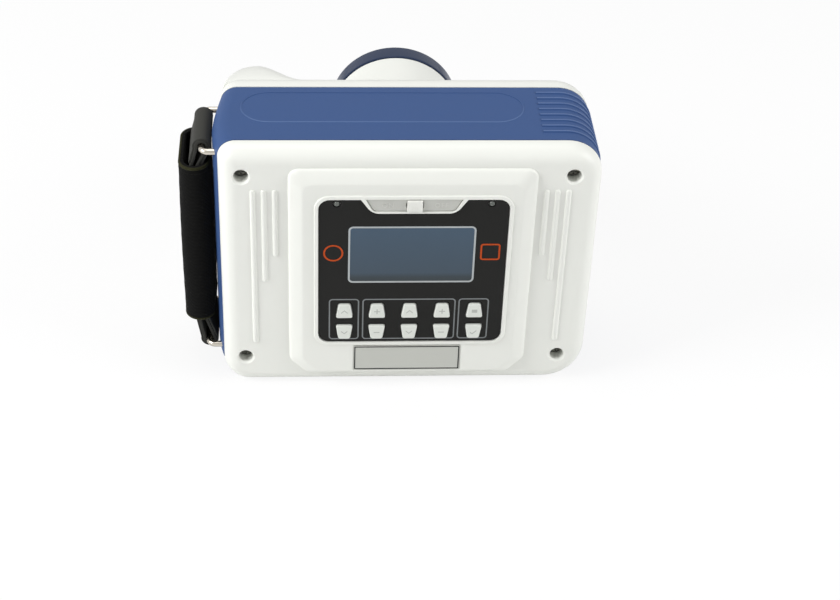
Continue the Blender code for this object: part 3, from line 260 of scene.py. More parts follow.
WHITE_SHELL = Finish("white shell", "white_shell", (0.80, 0.81, 0.765), 0.36, relief_depth=0.10, drift=0.02)
BLUE_BAND = Finish("blue band", "blue_band", (0.038, 0.082, 0.215), 0.50, relief=Relief.SPARK, relief_depth=0.30,
                   relief_scale=3200.0, drift=0.06, gloss=0.22)
NAVY_RING = Finish("navy ring", "navy_ring", (0.014, 0.027, 0.066), 0.26, relief_depth=0.03, coat=0.1, gloss=0.25)
PANEL_FILM = Finish("panel film", "panel", (0.0120, 0.0120, 0.0112), 0.42, relief=Relief.SPARK, relief_depth=0.10,
                    relief_scale=4000.0, drift=0.10, gloss=0.14)
KEY_PLASTIC = Finish("key plastic", "key_grey", (0.70, 0.725, 0.68), 0.42)
SLIDER_PLASTIC = Finish("slider plastic", "slider_white", (0.80, 0.805, 0.76), 0.35)
RECESS_PLASTIC = Finish("recess plastic", "recess_grey", (0.53, 0.535, 0.50), 0.48, relief=Relief.SPARK)
PRINT_GREY = Finish("grey print", "recess_grey", (0.42, 0.45, 0.46), 0.45, relief=Relief.NONE)
PRINT_ORANGE = Finish("orange print", "panel", (0.48, 0.062, 0.006), 0.45, relief=Relief.NONE, drift=0.08, gloss=0.15)
PRINT_BLACK = Finish("black print", "panel", (0.015, 0.015, 0.015), 0.45, relief=Relief.NONE, gloss=0.15)
KEY_MARK = Finish("key mark", "recess_grey", (0.44, 0.46, 0.43), 0.5, relief=Relief.NONE)
BARE_PLATE = Finish("bare plate", "bare_plate", (0.52, 0.53, 0.49), 0.42, relief=Relief.BRUSHED, relief_depth=0.08)
PRINT_DIM = Finish("dim print", "recess_grey", (0.20, 0.215, 0.22), 0.45, relief=Relief.NONE, gloss=0.2)
WORD_PLASTIC = Finish("word plastic", "recess_grey", (0.60, 0.605, 0.57), 0.45, relief=Relief.NONE)
TRIGGER_PLASTIC = Finish("trigger plastic", "blue_band", (0.038, 0.080, 0.210), 0.38, relief_depth=0.12)
STITCH_THREAD = Finish("stitch thread", "pad_fabric", (0.012, 0.012, 0.011), 0.70, relief=Relief.NONE, gloss=0.1)
LAMP_LENS = Finish("lamp lens", "lamp_lens", (0.11, 0.12, 0.11), 0.25, relief=Relief.NONE, coat=0.2)
BAIL_WIRE = Finish("bail wire", "nickel", (0.60, 0.56, 0.49), 0.20, metallic=1.0, relief=Relief.BRUSHED,
                   relief_depth=0.05)
PAD_KNIT = Finish("pad knit", "pad_fabric", (0.0045, 0.0045, 0.0043), 0.92, relief=Relief.KNIT, relief_depth=0.35,
                  relief_scale=5200.0, sheen=0.02, drift=0.3, patch_scale=140.0, gloss=0.08)
PAD_BINDING = Finish("pad binding", "pad_fabric", (0.026, 0.026, 0.011), 0.85, relief=Relief.WOVEN,
                     relief_depth=0.6, relief_scale=6000.0, sheen=0.02, drift=0.2, gloss=0.1)
WEBBING = Finish("webbing", "webbing", (0.012, 0.012, 0.011), 0.85, relief=Relief.WOVEN, relief_depth=0.9,
                 relief_scale=3600.0, sheen=0.05, drift=0.2, patch_scale=150.0, gloss=0.12)
SCREW_ZINC = Finish("screw zinc", "zinc_steel", (0.20, 0.20, 0.18), 0.45, metallic=1.0, relief=Relief.BRUSHED)
LEAD_SHEET = Finish("lead sheet", "lead", (0.15, 0.16, 0.17), 0.55, metallic=1.0, relief_depth=0.3)
TANK_ALLOY = Finish("tank alloy", "aluminium", (0.62, 0.63, 0.64), 0.42, metallic=1.0, relief=Relief.BRUSHED)
BUSH_BRASS = Finish("bush brass", "brass", (0.60, 0.42, 0.16), 0.30, metallic=1.0, relief=Relief.BRUSHED)
COIL_COPPER = Finish("coil copper", "copper", (0.55, 0.26, 0.12), 0.35, metallic=1.0, relief=Relief.BRUSHED)
SEAL_RUBBER = Finish("seal rubber", "rubber", (0.015, 0.015, 0.016), 0.75)
BOARD_MASK = Finish("board mask", "circuit_board", (0.03, 0.16, 0.07), 0.40, drift=0.15)
PART_PLASTIC = Finish("part plastic", "component", (0.020, 0.020, 0.020), 0.45)
TUBE_GLASS = Finish("tube glass", "tube_glass", (0.72, 0.76, 0.77), 0.08, relief=Relief.NONE, transmission=0.9)


@dataclass(frozen=True)
class GradedFinish(Finish):
    """A finish whose colour changes along one axis."""

    axis: str = "Z"
    start: float = 0.0
    end: float = 1.0
    stops: tuple[tuple[float, tuple[float, float, float]], ...] = ()

    def material(self) -> bpy.types.Material:
        """Build the graded material on the first call.

        Returns:
            The material.
        """
        found = bpy.data.materials.get(self.name)
        if found:
            return found
        made = super().material()
        tree = made.node_tree
        tone = next(node for node in tree.nodes if node.type == "GROUP")
        place, apart, ramp = (add_node(tree, kind) for kind in ("TexCoord", "SeparateXYZ", "ValToRGB"))
        share = add_node(tree, "MapRange", From_Min=self.start, From_Max=self.end)
        ramp.color_ramp.elements[0].color = (*self.stops[0][1], 1.0)
        ramp.color_ramp.elements[1].color = (*self.stops[-1][1], 1.0)
        for position, color in self.stops[1:-1]:
            ramp.color_ramp.elements.new(position).color = (*color, 1.0)
        connect(tree, (place, "Object", apart, 0), (apart, self.axis, share, "Value"), (share, "Result", ramp, "Fac"),
                (ramp, "Color", tone, "Color"))
        return made


# Painted shade: the display glass is darker towards its bottom edge and lighter towards its top.
DISPLAY_GLASS_PAINTED_SHADE = GradedFinish(
    "display glass painted shade", "display_glass", (0.058, 0.094, 0.140), 0.30, relief=Relief.NONE, coat=0.05, drift=0.05,
    patch_scale=25.0, gloss=0.2, axis="Z", start=64.8 * MM, end=94.9 * MM,
    stops=((0.0, (0.036, 0.046, 0.050)), (0.08, (0.042, 0.056, 0.068)), (0.16, (0.054, 0.080, 0.110)),
           (1.0, (0.058, 0.094, 0.140))))
# Painted highlight: the pressed line is lighter on its near side and fades to the band's blue on its far side,
# standing for the light that its near edge catches.
PRESSED_LINE_PAINTED_HIGHLIGHT = GradedFinish(
    "pressed line painted highlight", "blue_band", (0.080, 0.140, 0.290), 0.50, relief=Relief.NONE, gloss=0.2, axis="Y",
    start=-8.0 * MM, end=10.0 * MM, stops=((0.0, (0.085, 0.145, 0.300)), (1.0, (0.042, 0.088, 0.225))))
# Painted highlight: a lighter blue for a thin skin over each rib's crest, standing for the light that the crests
# catch.
RIB_PAINTED_HIGHLIGHT = Finish("rib crest painted highlight", "blue_band", (0.105, 0.165, 0.325), 0.45, relief=Relief.NONE, gloss=0.25)

INNER_FINISHES = {
    "cone_seal": SEAL_RUBBER, "beam_filter": TANK_ALLOY, "tank_body": TANK_ALLOY, "tank_lid": TANK_ALLOY,
    "xray_tube": TUBE_GLASS, "high_voltage_coil": COIL_COPPER, "battery_pack": PART_PLASTIC,
    "buzzer": PART_PLASTIC, "display_module": PART_PLASTIC, "key_board": BOARD_MASK, "driver_board": BOARD_MASK,
    "slide_switch": SCREW_ZINC, "trigger_switch": PART_PLASTIC, "trigger_bracket": SCREW_ZINC,
    "bail_plate_top": SCREW_ZINC, "bail_plate_low": SCREW_ZINC,
}


def chevron(tall: float) -> list[Pair]:
    """Return an arrow head's corners, pointing up for 1 and down for -1."""
    corners = [(-1.5, -0.5), (0.0, 0.9), (1.5, -0.5), (1.5, -1.1), (0.0, 0.3), (-1.5, -1.1)]
    return [(x * MM, z * tall * MM) for x, z in corners]


def bar(half_x: float, half_z: float) -> list[Pair]:
    """Return a bar's corners from half its width and height in millimetres."""
    return [(x * MM, z * MM) for x, z in ((half_x, -half_z), (half_x, half_z), (-half_x, half_z), (-half_x, -half_z))]


def plus() -> list[Pair]:
    """Return a plus sign's corners."""
    long, thin = 1.4 * MM, 0.25 * MM
    return [(long, -thin), (long, thin), (thin, thin), (thin, long), (-thin, long), (-thin, thin),
            (-long, thin), (-long, -thin), (-thin, -thin), (-thin, -long), (thin, -long), (thin, -thin)]


def tick() -> list[Pair]:
    """Return a tick's corners."""
    return [(x * MM, z * MM) for x, z in (
        (-1.5, 0.1), (-0.5, -0.8), (1.5, 1.1), (1.5, 0.4), (-0.5, -1.5), (-1.5, -0.6))]


KEY_MARKS = (chevron(1), plus(), chevron(1), plus(), bar(1.3, 0.9),
             chevron(-1), bar(1.4, 0.25), chevron(-1), bar(1.4, 0.25), tick())


# ---------------------------------------------------------------- workbench

def clear_selection() -> None:
    """Deselect everything."""
    bpy.ops.object.select_all(action="DESELECT")


def focus(piece: Piece) -> None:
    """Make one piece the only selected and the active one.

    Args:
        piece: The piece.
    """
    clear_selection()
    piece.select_set(True)
    bpy.context.view_layer.objects.active = piece


def settle(piece: Piece) -> None:
    """Move a piece's place, turn and scale into its mesh."""
    focus(piece)
    bpy.ops.object.transform_apply(location=True, rotation=True, scale=True)


def named(name: str) -> Piece:
    """Name the active piece and its mesh.

    Args:
        name: The name.

    Returns:
        The piece.
    """
    made = bpy.context.object
    made.name = made.data.name = name
    return made


def slab(name: str, low: Point, high: Point) -> Piece:
    """Add a box between two corners.

    Args:
        name: Name of the piece.
        low: Its lowest corner.
        high: Its highest corner.

    Returns:
        The box, with its place in its mesh.
    """
    clear_selection()
    middle = [(a + b) / 2 for a, b in zip(low, high)]
    size = [b - a for a, b in zip(low, high)]
    bpy.ops.mesh.primitive_cube_add(size=1, location=middle, scale=size)
    made = named(name)
    settle(made)
    return made


def rod(name: str, radius: float, start: Point, end: Point, sides: int = 96) -> Piece:
    """Add a cylinder from one point to another, along X, Y or Z.

    Args:
        name: Name of the piece.
        radius: Its radius.
        start: Centre of one end.
        end: Centre of the other end.
        sides: Number of sides.

    Returns:
        The cylinder, with its place in its mesh.
    """
    clear_selection()
    along = Vector(end) - Vector(start)
    turn = along.to_track_quat("Z", "Y").to_euler()
    bpy.ops.mesh.primitive_cylinder_add(
        vertices=sides, radius=radius, depth=along.length, location=(Vector(start) + Vector(end)) / 2, rotation=turn)
    made = named(name)
    settle(made)
    return made


def start_edit(piece: Piece, kind: str) -> bmesh.types.BMesh:
    """Enter edit mode with nothing selected.

    Args:
        piece: The piece to edit.
        kind: VERT or EDGE, what is going to be selected.

    Returns:
        The mesh being edited.
    """
    focus(piece)
    bpy.ops.object.mode_set(mode="EDIT")
    bpy.ops.mesh.select_mode(type=kind)
    bpy.ops.mesh.select_all(action="DESELECT")
    return bmesh.from_edit_mesh(piece.data)


def choose_points(piece: Piece, test: Test) -> None:
    """Enter edit mode with only the vertices that pass a test selected.

    Args:
        piece: The piece to edit.
        test: Takes a vertex's place and says whether it is chosen.
    """
    mesh = start_edit(piece, "VERT")
    for vertex in mesh.verts:
        if test(vertex.co):
            vertex.select_set(True)
    mesh.select_flush(True)
    bmesh.update_edit_mesh(piece.data)


def leave_edit() -> None:
    """Go back to object mode."""
    bpy.ops.object.mode_set(mode="OBJECT")


def near(value: float, goal: float) -> bool:
    """Say whether two lengths agree within a hundredth of a millimetre."""
    return abs(value - goal) < 0.01 * MM


def bevel_chosen(width: float, segments: int) -> None:
    """Bevel the chosen edges in edit mode."""
    bpy.ops.mesh.bevel(offset=width, segments=segments, profile=0.5, affect="EDGES", clamp_overlap=False)


def round_corner(piece: Piece, x: float, z: float, radius: float, segments: int = 12) -> None:
    """Round the edge that runs along Y at the corner at x, z."""
    round_rim(piece, lambda at: near(at.x, x) and near(at.z, z), radius, segments)


def round_rim(piece: Piece, test: Test, radius: float, segments: int = 6) -> None:
    """Round the outline of the flat face whose vertices pass a test.

    Args:
        piece: The piece to edit.
        test: Takes a vertex's place and says whether it is on the face.
        radius: Width of the rounding.
        segments: Number of segments.
    """
    choose_points(piece, test)
    bpy.ops.mesh.select_mode(type="EDGE")
    bevel_chosen(radius, segments)
    leave_edit()


def extrude(piece: Piece, axis: int, place: float, ahead: float) -> None:
    """Extrude the points at one place along an axis to another, and stay in edit mode with the new ones chosen.

    Args:
        piece: The piece to edit.
        axis: 0, 1 or 2 for X, Y or Z.
        place: Where the points are.
        ahead: Where the new points go.
    """
    choose_points(piece, lambda at: near(at[axis], place))
    step = [0.0, 0.0, 0.0]
    step[axis] = ahead - place
    bpy.ops.mesh.extrude_region_move(TRANSFORM_OT_translate={"value": step})


def draw_in(piece: Piece, depth: float, ahead: float, scale: Pair, centre: Pair) -> None:
    """Extrude the points at one depth to another and scale the new ones across and up.

    Args:
        piece: The piece to edit.
        depth: Where the points are.
        ahead: Where the new points go.
        scale: Scale along X and Z.
        centre: The fixed point's X and Z.
    """
    extrude(piece, 1, depth, ahead)
    bpy.ops.transform.resize(value=(scale[0], 1, scale[1]), center_override=(centre[0], ahead, centre[1]))
    leave_edit()


def face_out(piece: Piece) -> None:
    """Merge a piece's doubled points and turn its faces outwards.

    Args:
        piece: The piece.
    """
    focus(piece)
    bpy.ops.object.mode_set(mode="EDIT")
    bpy.ops.mesh.select_all(action="SELECT")
    bpy.ops.mesh.remove_doubles(threshold=0.001 * MM)
    bpy.ops.mesh.normals_make_consistent(inside=False)
    leave_edit()


def flat_shape(name: str, points: Sequence[Point]) -> Piece:
    """Add one flat face through points.

    Args:
        name: Name of the piece.
        points: The corners in order.

    Returns:
        The face.
    """
    clear_selection()
    bpy.ops.mesh.primitive_circle_add(vertices=len(points), radius=1.0, fill_type="NGON")
    made = named(name)
    for vertex, point in zip(made.data.vertices, points):
        vertex.co = point
    return made


def prism(name: str, corners: Sequence[Pair], start: float, end: float) -> Piece:
    """Extrude an outline of (x, z) corners between two depths.

    Args:
        name: Name of the piece.
        corners: The outline's corners in order.
        start: Its nearest depth.
        end: Its farthest depth.

    Returns:
        The prism.
    """
    made = flat_shape(name, [(x, start, z) for x, z in corners])
    extrude(made, 1, start, end)
    leave_edit()
    face_out(made)
    return made


def round_all(piece: Piece, radius: float, segments: int) -> None:
    """Round every edge of a prism that runs along Y.

    Args:
        piece: The prism.
        radius: Radius of the edges.
        segments: Number of segments.
    """
    mesh = start_edit(piece, "EDGE")
    for edge in mesh.edges:
        first, second = edge.verts
        if near(first.co.x, second.co.x) and near(first.co.z, second.co.z):
            edge.select_set(True)
    bmesh.update_edit_mesh(piece.data)
    bevel_chosen(radius, segments)
    leave_edit()


def wire(name: str, points: Sequence[Point], radius: float, closed: bool = False, sides: int = 6) -> Piece:
    """Draw a round wire or thread along points.

    Args:
        name: Name of the piece.
        points: The points it runs through.
        radius: Its radius.
        closed: Whether its end meets its start.
        sides: Bevel resolution of its round section.

    Returns:
        The wire as a mesh.
    """
    clear_selection()
    curve = bpy.data.curves.new(name, "CURVE")
    curve.dimensions = "3D"
    curve.bevel_depth = radius
    curve.bevel_resolution = sides
    curve.use_fill_caps = not closed
    spline = curve.splines.new("POLY")
    spline.points.add(len(points) - 1)
    for knot, point in zip(spline.points, points):
        knot.co = (*point, 1.0)
    spline.use_cyclic_u = closed
    made = bpy.data.objects.new(name, curve)
    bpy.context.scene.collection.objects.link(made)
    focus(made)
    bpy.ops.object.convert(target="MESH")
    made = named(name)
    face_out(made)
    return made


def turned(name: str, points: Sequence[Pair], axis: str, centre: Point, closed: bool, steps: int) -> Piece:
    """Spin a section about an axis.

    Args:
        name: Name of the piece.
        points: The section as (radius, place along the axis) in millimetres.
        axis: X, Y or Z.
        centre: A point on the axis.
        closed: Whether the section is a closed loop; an open one starts and ends on the axis.
        steps: Number of steps round the axis.

    Returns:
        The turned piece.
    """
    clear_selection()
    bpy.ops.mesh.primitive_circle_add(vertices=len(points), radius=1.0, fill_type="NOTHING")
    made = named(name)
    out, along = {"X": ((0, 1, 0), (1, 0, 0)), "Y": ((1, 0, 0), (0, 1, 0)), "Z": ((1, 0, 0), (0, 0, 1))}[axis]
    for vertex, (radius, place) in zip(made.data.vertices, points):
        vertex.co = Vector(centre) + Vector(out) * radius * MM + Vector(along) * place * MM
    mesh = start_edit(made, "EDGE")
    if not closed:
        last = len(points) - 1
        for edge in mesh.edges:
            if {vertex.index for vertex in edge.verts} == {0, last}:
                edge.select_set(True)
        bmesh.update_edit_mesh(made.data)
        bpy.ops.mesh.delete(type="EDGE")
    bpy.ops.mesh.select_all(action="SELECT")
    bpy.ops.mesh.spin(steps=steps, angle=math.radians(360), center=centre, axis=along)
    leave_edit()
    face_out(made)
    return made


def raised_word(text: str, place: Point, size: float, height: float) -> Piece:
    """Raise a short word from a face that looks along -Y.

    Args:
        text: The word.
        place: Its middle on the face.
        size: Height of its letters' body.
        height: How far it stands out.

    Returns:
        The word as a mesh.
    """
    clear_selection()
    bpy.ops.object.text_add(location=(0, 0, 0))
    made = bpy.context.object
    made.data.body = text
    made.data.size = size
    made.data.align_x = "CENTER"
    made.data.align_y = "CENTER"
    made.data.extrude = height
    made.data.space_character = 1.15
    bpy.ops.object.convert(target="MESH")
    made = named(f"word_{text}")
    made.location = place
    made.rotation_euler = (math.radians(90), 0, 0)
    settle(made)
    face_out(made)
    return made


def rounded_slab(name: str, low: Point, high: Point, radii: Sequence[float], segments: int = 12) -> Piece:
    """Add a box whose four edges along Y are rounded.

    Args:
        name: Name of the piece.
        low: Its lowest corner.
        high: Its highest corner.
        radii: Radii of the low right, top right, top left and low left corners.
        segments: Number of segments in each corner.

    Returns:
        The rounded box.
    """
    made = slab(name, low, high)
    corners = ((high[0], low[2]), (high[0], high[2]), (low[0], high[2]), (low[0], low[2]))
    for (x, z), radius in zip(corners, radii):
        if radius:
            round_corner(made, x, z, radius, segments)
    return made


def combine(target: Piece, tool: Piece, operation: str) -> None:
    """Apply a Boolean and remove its tool.

    Args:
        target: The piece that is changed.
        tool: The piece that is joined on or cut away.
        operation: UNION, DIFFERENCE or INTERSECT.
    """
    focus(target)
    modifier = target.modifiers.new("combine", "BOOLEAN")
    modifier.operation = operation
    modifier.solver = "EXACT"
    modifier.object = tool
    bpy.ops.object.modifier_apply(modifier=modifier.name)
    bpy.data.objects.remove(tool, do_unlink=True)


def cut(target: Piece, *tools: Piece) -> None:
    """Cut solids away from a piece, one after the other."""
    for tool in tools:
        combine(target, tool, "DIFFERENCE")


def add(target: Piece, *tools: Piece) -> None:
    """Join solids on to a piece, one after the other."""
    for tool in tools:
        combine(target, tool, "UNION")


def centred_slab(
    name: str, place: Pair, half: Pair, depths: Pair, radius: float = 0.0, segments: int = 4,
) -> Piece:
    """Return a box between two depths from its middle and its half sizes along X and Z, its edges along Y rounded."""
    (x, z), (half_x, half_z), (start, end) = place, half, depths
    return rounded_slab(name, (x - half_x, start, z - half_z), (x + half_x, end, z + half_z), (radius,) * 4, segments)


def beside(path: Sequence[Pair], reach: float, closed: bool) -> list[Pair]:
    """Return a line that runs beside another.

    Args:
        path: The points of the other line.
        reach: How far to its right the new line runs.
        closed: Whether the line is a loop.

    Returns:
        The new line's points.
    """
    made = []
    last = len(path) - 1
    for index, (x, z) in enumerate(path):
        back = path[index - 1 if closed else max(index - 1, 0)]
        ahead = path[(index + 1) % len(path) if closed else min(index + 1, last)]
        along = math.atan2(ahead[1] - back[1], ahead[0] - back[0])
        made.append((x + math.sin(along) * reach, z - math.cos(along) * reach))
    return made


def weld(pieces: Sequence[Piece], name: str) -> Piece:
    """Join several pieces into one object.

    Args:
        pieces: The pieces.
        name: Name of the result.

    Returns:
        The joined object.
    """
    clear_selection()
    for piece in pieces:
        piece.select_set(True)
    bpy.context.view_layer.objects.active = pieces[0]
    bpy.ops.object.join()
    made = named(name)
    return made


def copied(piece: Piece, name: str, offset: Point = (0.0, 0.0, 0.0)) -> Piece:
    """Copy a piece with a mesh of its own, moved by an offset.

    Args:
        piece: The piece to copy.
        name: Name of the copy.
        offset: How far the copy moves.

    Returns:
        The copy.
    """
    focus(piece)
    bpy.ops.object.duplicate(linked=False)
    made = named(name)
    made.location = offset
    settle(made)
    return made


def modify(piece: Piece, kind: str, **settings: float | str | bool) -> None:
    """Apply a modifier to a piece.

    Args:
        piece: The piece.
        kind: The modifier's type.
        settings: Its settings by name.
    """
    focus(piece)
    modifier = piece.modifiers.new(kind, kind)
    for key, value in settings.items():
        setattr(modifier, key, value)
    bpy.ops.object.modifier_apply(modifier=modifier.name)


def soften(piece: Piece, width: float, segments: int = 2, angle: float = 40.0) -> None:
    """Round with an applied bevel a piece's edges that are sharper than an angle in degrees."""
    modify(piece, "BEVEL", width=width, segments=segments, limit_method="ANGLE", angle_limit=math.radians(angle),
           use_clamp_overlap=True)


def dress(piece: Piece, finish: Finish, body: str, *replaced: str, angle: float = 30.0) -> None:
    """Smooth a new piece, give it its finish and fix it to its body.

    Args:
        piece: The piece.
        finish: Its finish.
        body: The CAD body that it rides on.
        replaced: CAD nodes that it stands for.
        angle: Edges sharper than this many degrees stay sharp.
    """
    focus(piece)
    bpy.ops.object.shade_smooth_by_angle(angle=math.radians(angle))
    modify(piece, "WEIGHTED_NORMAL", keep_sharp=True)
    piece.data.materials.clear()
    piece.data.materials.append(finish.material())
    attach(piece, body)
    if replaced:
        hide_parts(*replaced)
    log.info("%s on %s: %d faces", piece.name, body, len(piece.data.polygons))


def finish_node(name: str, finish: Finish) -> None:
    """Give a CAD node that stays its finish.

    Args:
        name: Name of the node.
        finish: Its finish.
    """
    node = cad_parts[name]
    node.data.materials.clear()
    node.data.materials.append(finish.material())
    log.info("%s keeps its CAD form in %s", name, finish.name)


# ---------------------------------------------------------------- housing

@dataclass
class Housing:
    """The two white shells and the blue band between them."""

    half_width: float = 87.0 * MM
    height: float = 133.8 * MM
    half_band: float = 23.0 * MM
    gap: float = 0.5 * MM
    wall: float = 2.5 * MM
    rear_face: float = -31.8 * MM
    rear_fillet: float = 7.85 * MM
    front_face: float = 38.0 * MM
    front_fillet: float = 11.5 * MM
    radii: tuple[float, float, float, float] = (19.5 * MM, 16.5 * MM, 8.2 * MM, 12.5 * MM)
    plateau_face: float = -35.8 * MM
    plateau_x: float = 0.8 * MM
    plateau_half: float = 49.4 * MM
    plateau_low: float = 11.3 * MM
    plateau_high: float = 117.4 * MM
    shoulder: float = 7.0 * MM
    shoulder_steps: tuple[Pair, ...] = (
        (0.02, 0.14), (0.06, 0.25), (0.12, 0.34), (0.19, 0.42), (0.28, 0.505), (0.55, 0.74), (0.80, 0.925),
        (0.87, 0.965), (0.93, 0.988), (1.0, 1.0))
    bezel_face: float = -36.5 * MM
    panel_x: float = 1.4 * MM
    panel_half: float = 43.15 * MM
    panel_low: float = 29.3 * MM
    panel_high: float = 110.3 * MM
    window_half: float = 40.5 * MM
    lamp_spacing: float = 35.1 * MM
    lamp_height: float = 108.0 * MM
    screw_floor: float = -24.8 * MM
    boss_radius: float = 5.45 * MM
    counterbore: float = 3.35 * MM
    shank_hole: float = 1.9 * MM
    lamp_hole: float = 1.7 * MM
    screws: tuple[Pair, ...] = (
        (-76.5 * MM, 119.8 * MM), (73.5 * MM, 119.8 * MM), (-76.5 * MM, 16.8 * MM), (73.5 * MM, 16.8 * MM))
    bulge: float = 3.0 * MM
    bulge_edge: float = -77.0 * MM
    line_y: float = 5.2 * MM
    rib_count: int = 8
    rib_pitch: float = 4.8 * MM
    rib_first: float = -15.7 * MM
    cone_x: float = -1.5 * MM
    cone_z: float = 77.5 * MM
    grip_x: float = -70.5 * MM

    def outline(self, name: str, start: float, end: float, grow: float = 0.0) -> Piece:
        """Add the housing's rounded outline as a solid between two depths.

        Args:
            name: Name of the solid.
            start: Its nearest depth.
            end: Its farthest depth.
            grow: How much larger it is all round.

        Returns:
            The solid.
        """
        low = (-self.half_width - grow, start, -grow)
        high = (self.half_width + grow, end, self.height + grow)
        return rounded_slab(name, low, high, [radius + grow for radius in self.radii], 14)

    def build(self) -> None:
        """Build and dress the three mouldings."""
        dress(self.rear_casing(), WHITE_SHELL, HOUSING, "rear_shell")
        dress(self.band(), BLUE_BAND, HOUSING, "middle_band")
        # The pressed line carries a painted highlight on its near side.
        dress(self.pressed_line(), PRESSED_LINE_PAINTED_HIGHLIGHT, HOUSING)
        # Thin skins over the rib crests, in a lighter blue that paints the highlight along each crest.
        crest_highlights = [self.rib(y, 0.30 * MM, 0.55 * MM, True) for y in self.rib_depths()]
        dress(weld(crest_highlights, "rib_crest_painted_highlights"), RIB_PAINTED_HIGHLIGHT, HOUSING)
        dress(self.front_casing(), WHITE_SHELL, HOUSING, "front_shell")

    def rear_casing(self) -> Piece:
        """Build the white rear shell.

        Returns:
            The finished moulding.
        """
        casing = self.outline("rear_casing", self.rear_face, -self.half_band - self.gap / 2)
        round_rim(casing, lambda at: near(at.y, self.rear_face), self.rear_fillet, 10)
        add(casing, self.plateau(), self.bezel(), self.beads())
        cavity = self.outline("cavity", self.rear_face + self.wall, 0.0, -self.wall)
        round_rim(cavity, lambda at: near(at.y, self.rear_face + self.wall), self.rear_fillet - self.wall, 6)
        cut(casing, cavity, slab("inner plateau", (-45 * MM, -32.3 * MM, 14.5 * MM), (46 * MM, DEEP, 114 * MM)))
        add(casing, weld([rod("boss", self.boss_radius, (x, -30.4 * MM, z), (x, -22.7 * MM, z), 32)
                          for x, z in self.screws], "bosses"))
        for x, z in self.screws:
            cut(casing, rod("counterbore", self.counterbore, (x, NEAR, z), (x, self.screw_floor, z), 44),
                rod("shank hole", self.shank_hole, (x, -26 * MM, z), (x, DEEP, z), 24), self.lead_in(x, z))
        left, right = self.panel_x - self.window_half, self.panel_x + self.window_half
        cut(casing, self.panel_pocket(), self.slider_recess(),
            rounded_slab("window", (left, NEAR, 30.2 * MM), (right, DEEP, 99.3 * MM), (3 * MM,) * 4, 4),
            slab("slot", (-2.4 * MM, NEAR, 105.9 * MM), (5.6 * MM, DEEP, 108.7 * MM)),
            rounded_slab("plate recess", (-25.3 * MM, -38 * MM, 11.5 * MM), (26.1 * MM, -35.3 * MM, 26.6 * MM),
                         (0.8 * MM,) * 4, 3))
        for side in BOTH_SIDES:
            x, z = self.panel_x + side * self.lamp_spacing, self.lamp_height
            cut(casing, rod("lamp hole", self.lamp_hole, (x, NEAR, z), (x, DEEP, z), 24))
        return casing

    def plateau(self) -> Piece:
        """Build the raised plateau, drawn in to its face by a broad round shoulder.

        Returns:
            The plateau, sunk into the shell's face.
        """
        half = self.plateau_half + self.shoulder
        low = self.plateau_low - self.shoulder / 2
        high = self.plateau_high + self.shoulder
        left, right = self.plateau_x - half, self.plateau_x + half
        made = rounded_slab(
            "plateau", (left, self.rear_face, low), (right, -29 * MM, high), (0.0, 5 * MM, 5 * MM, 0.0), 8)
        chamfer = 8 * MM
        for x, inward in ((left, 1), (right, -1)):
            round_corner(made, x, low, chamfer, 1)
            round_corner(made, x, low + chamfer, 2 * MM, 4)
            round_corner(made, x + inward * chamfer, low, 2 * MM, 4)
        tall = high - low
        squeeze = (self.plateau_high - self.plateau_low) / tall
        pivot = (self.plateau_low - low * squeeze) / (1 - squeeze)
        depth, drawn = self.rear_face, 0.0
        for share, rise in self.shoulder_steps:
            ahead = self.rear_face + (self.plateau_face - self.rear_face) * rise
            wide = (half - self.shoulder * share) / (half - self.shoulder * drawn)
            upright = (1 - (1 - squeeze) * share) / (1 - (1 - squeeze) * drawn)
            draw_in(made, depth, ahead, (wide, upright), (self.plateau_x, pivot))
            depth, drawn = ahead, share
        return made

    def bezel(self) -> Piece:
        """Build the raised bezel round the panel.

        Returns:
            The bezel as a rounded slab.
        """
        grow = 2.2 * MM
        made = rounded_slab(
            "bezel", (self.panel_x - self.panel_half - grow, self.bezel_face, self.panel_low - grow),
            (self.panel_x + self.panel_half + grow, -34 * MM, self.panel_high + grow), (7.2 * MM,) * 4, 10)
        round_rim(made, lambda at: near(at.y, self.bezel_face), 0.65 * MM, 5)
        return made

    def beads(self) -> Piece:
        """Build the six upright beads on the face.

        Returns:
            The beads as one object.
        """
        made = []
        for side, middle in ((-1, -66.5 * MM), (1, 66.6 * MM)):
            for step, low in ((1, 25.5 * MM), (0, 61.5 * MM), (-1, 76.0 * MM)):
                x = middle + side * step * 5.0 * MM
                clear_selection()
                bpy.ops.mesh.primitive_uv_sphere_add(
                    segments=20, ring_count=12, radius=1.45 * MM, location=(x, -31.25 * MM, low + 1.4 * MM))
                bead = bpy.context.object
                settle(bead)
                choose_points(bead, lambda at, low=low: at.z > low + 1.45 * MM)
                bpy.ops.transform.translate(value=(0, 0, 113.0 * MM - low - 2.8 * MM))
                leave_edit()
                made.append(bead)
        return weld(made, "beads")

    def lead_in(self, x: float, z: float) -> Piece:
        """Build the cutter that breaks a counterbore's edge.

        Args:
            x: The screw's place across.
            z: The screw's height.

        Returns:
            A cone that opens towards the operator.
        """
        clear_selection()
        bpy.ops.mesh.primitive_cone_add(
            vertices=48, radius1=3.0 * MM, radius2=5.4 * MM, depth=2.4 * MM,
            location=(x, self.rear_face, z), rotation=(math.radians(90), 0, 0))
        made = bpy.context.object
        settle(made)
        return made

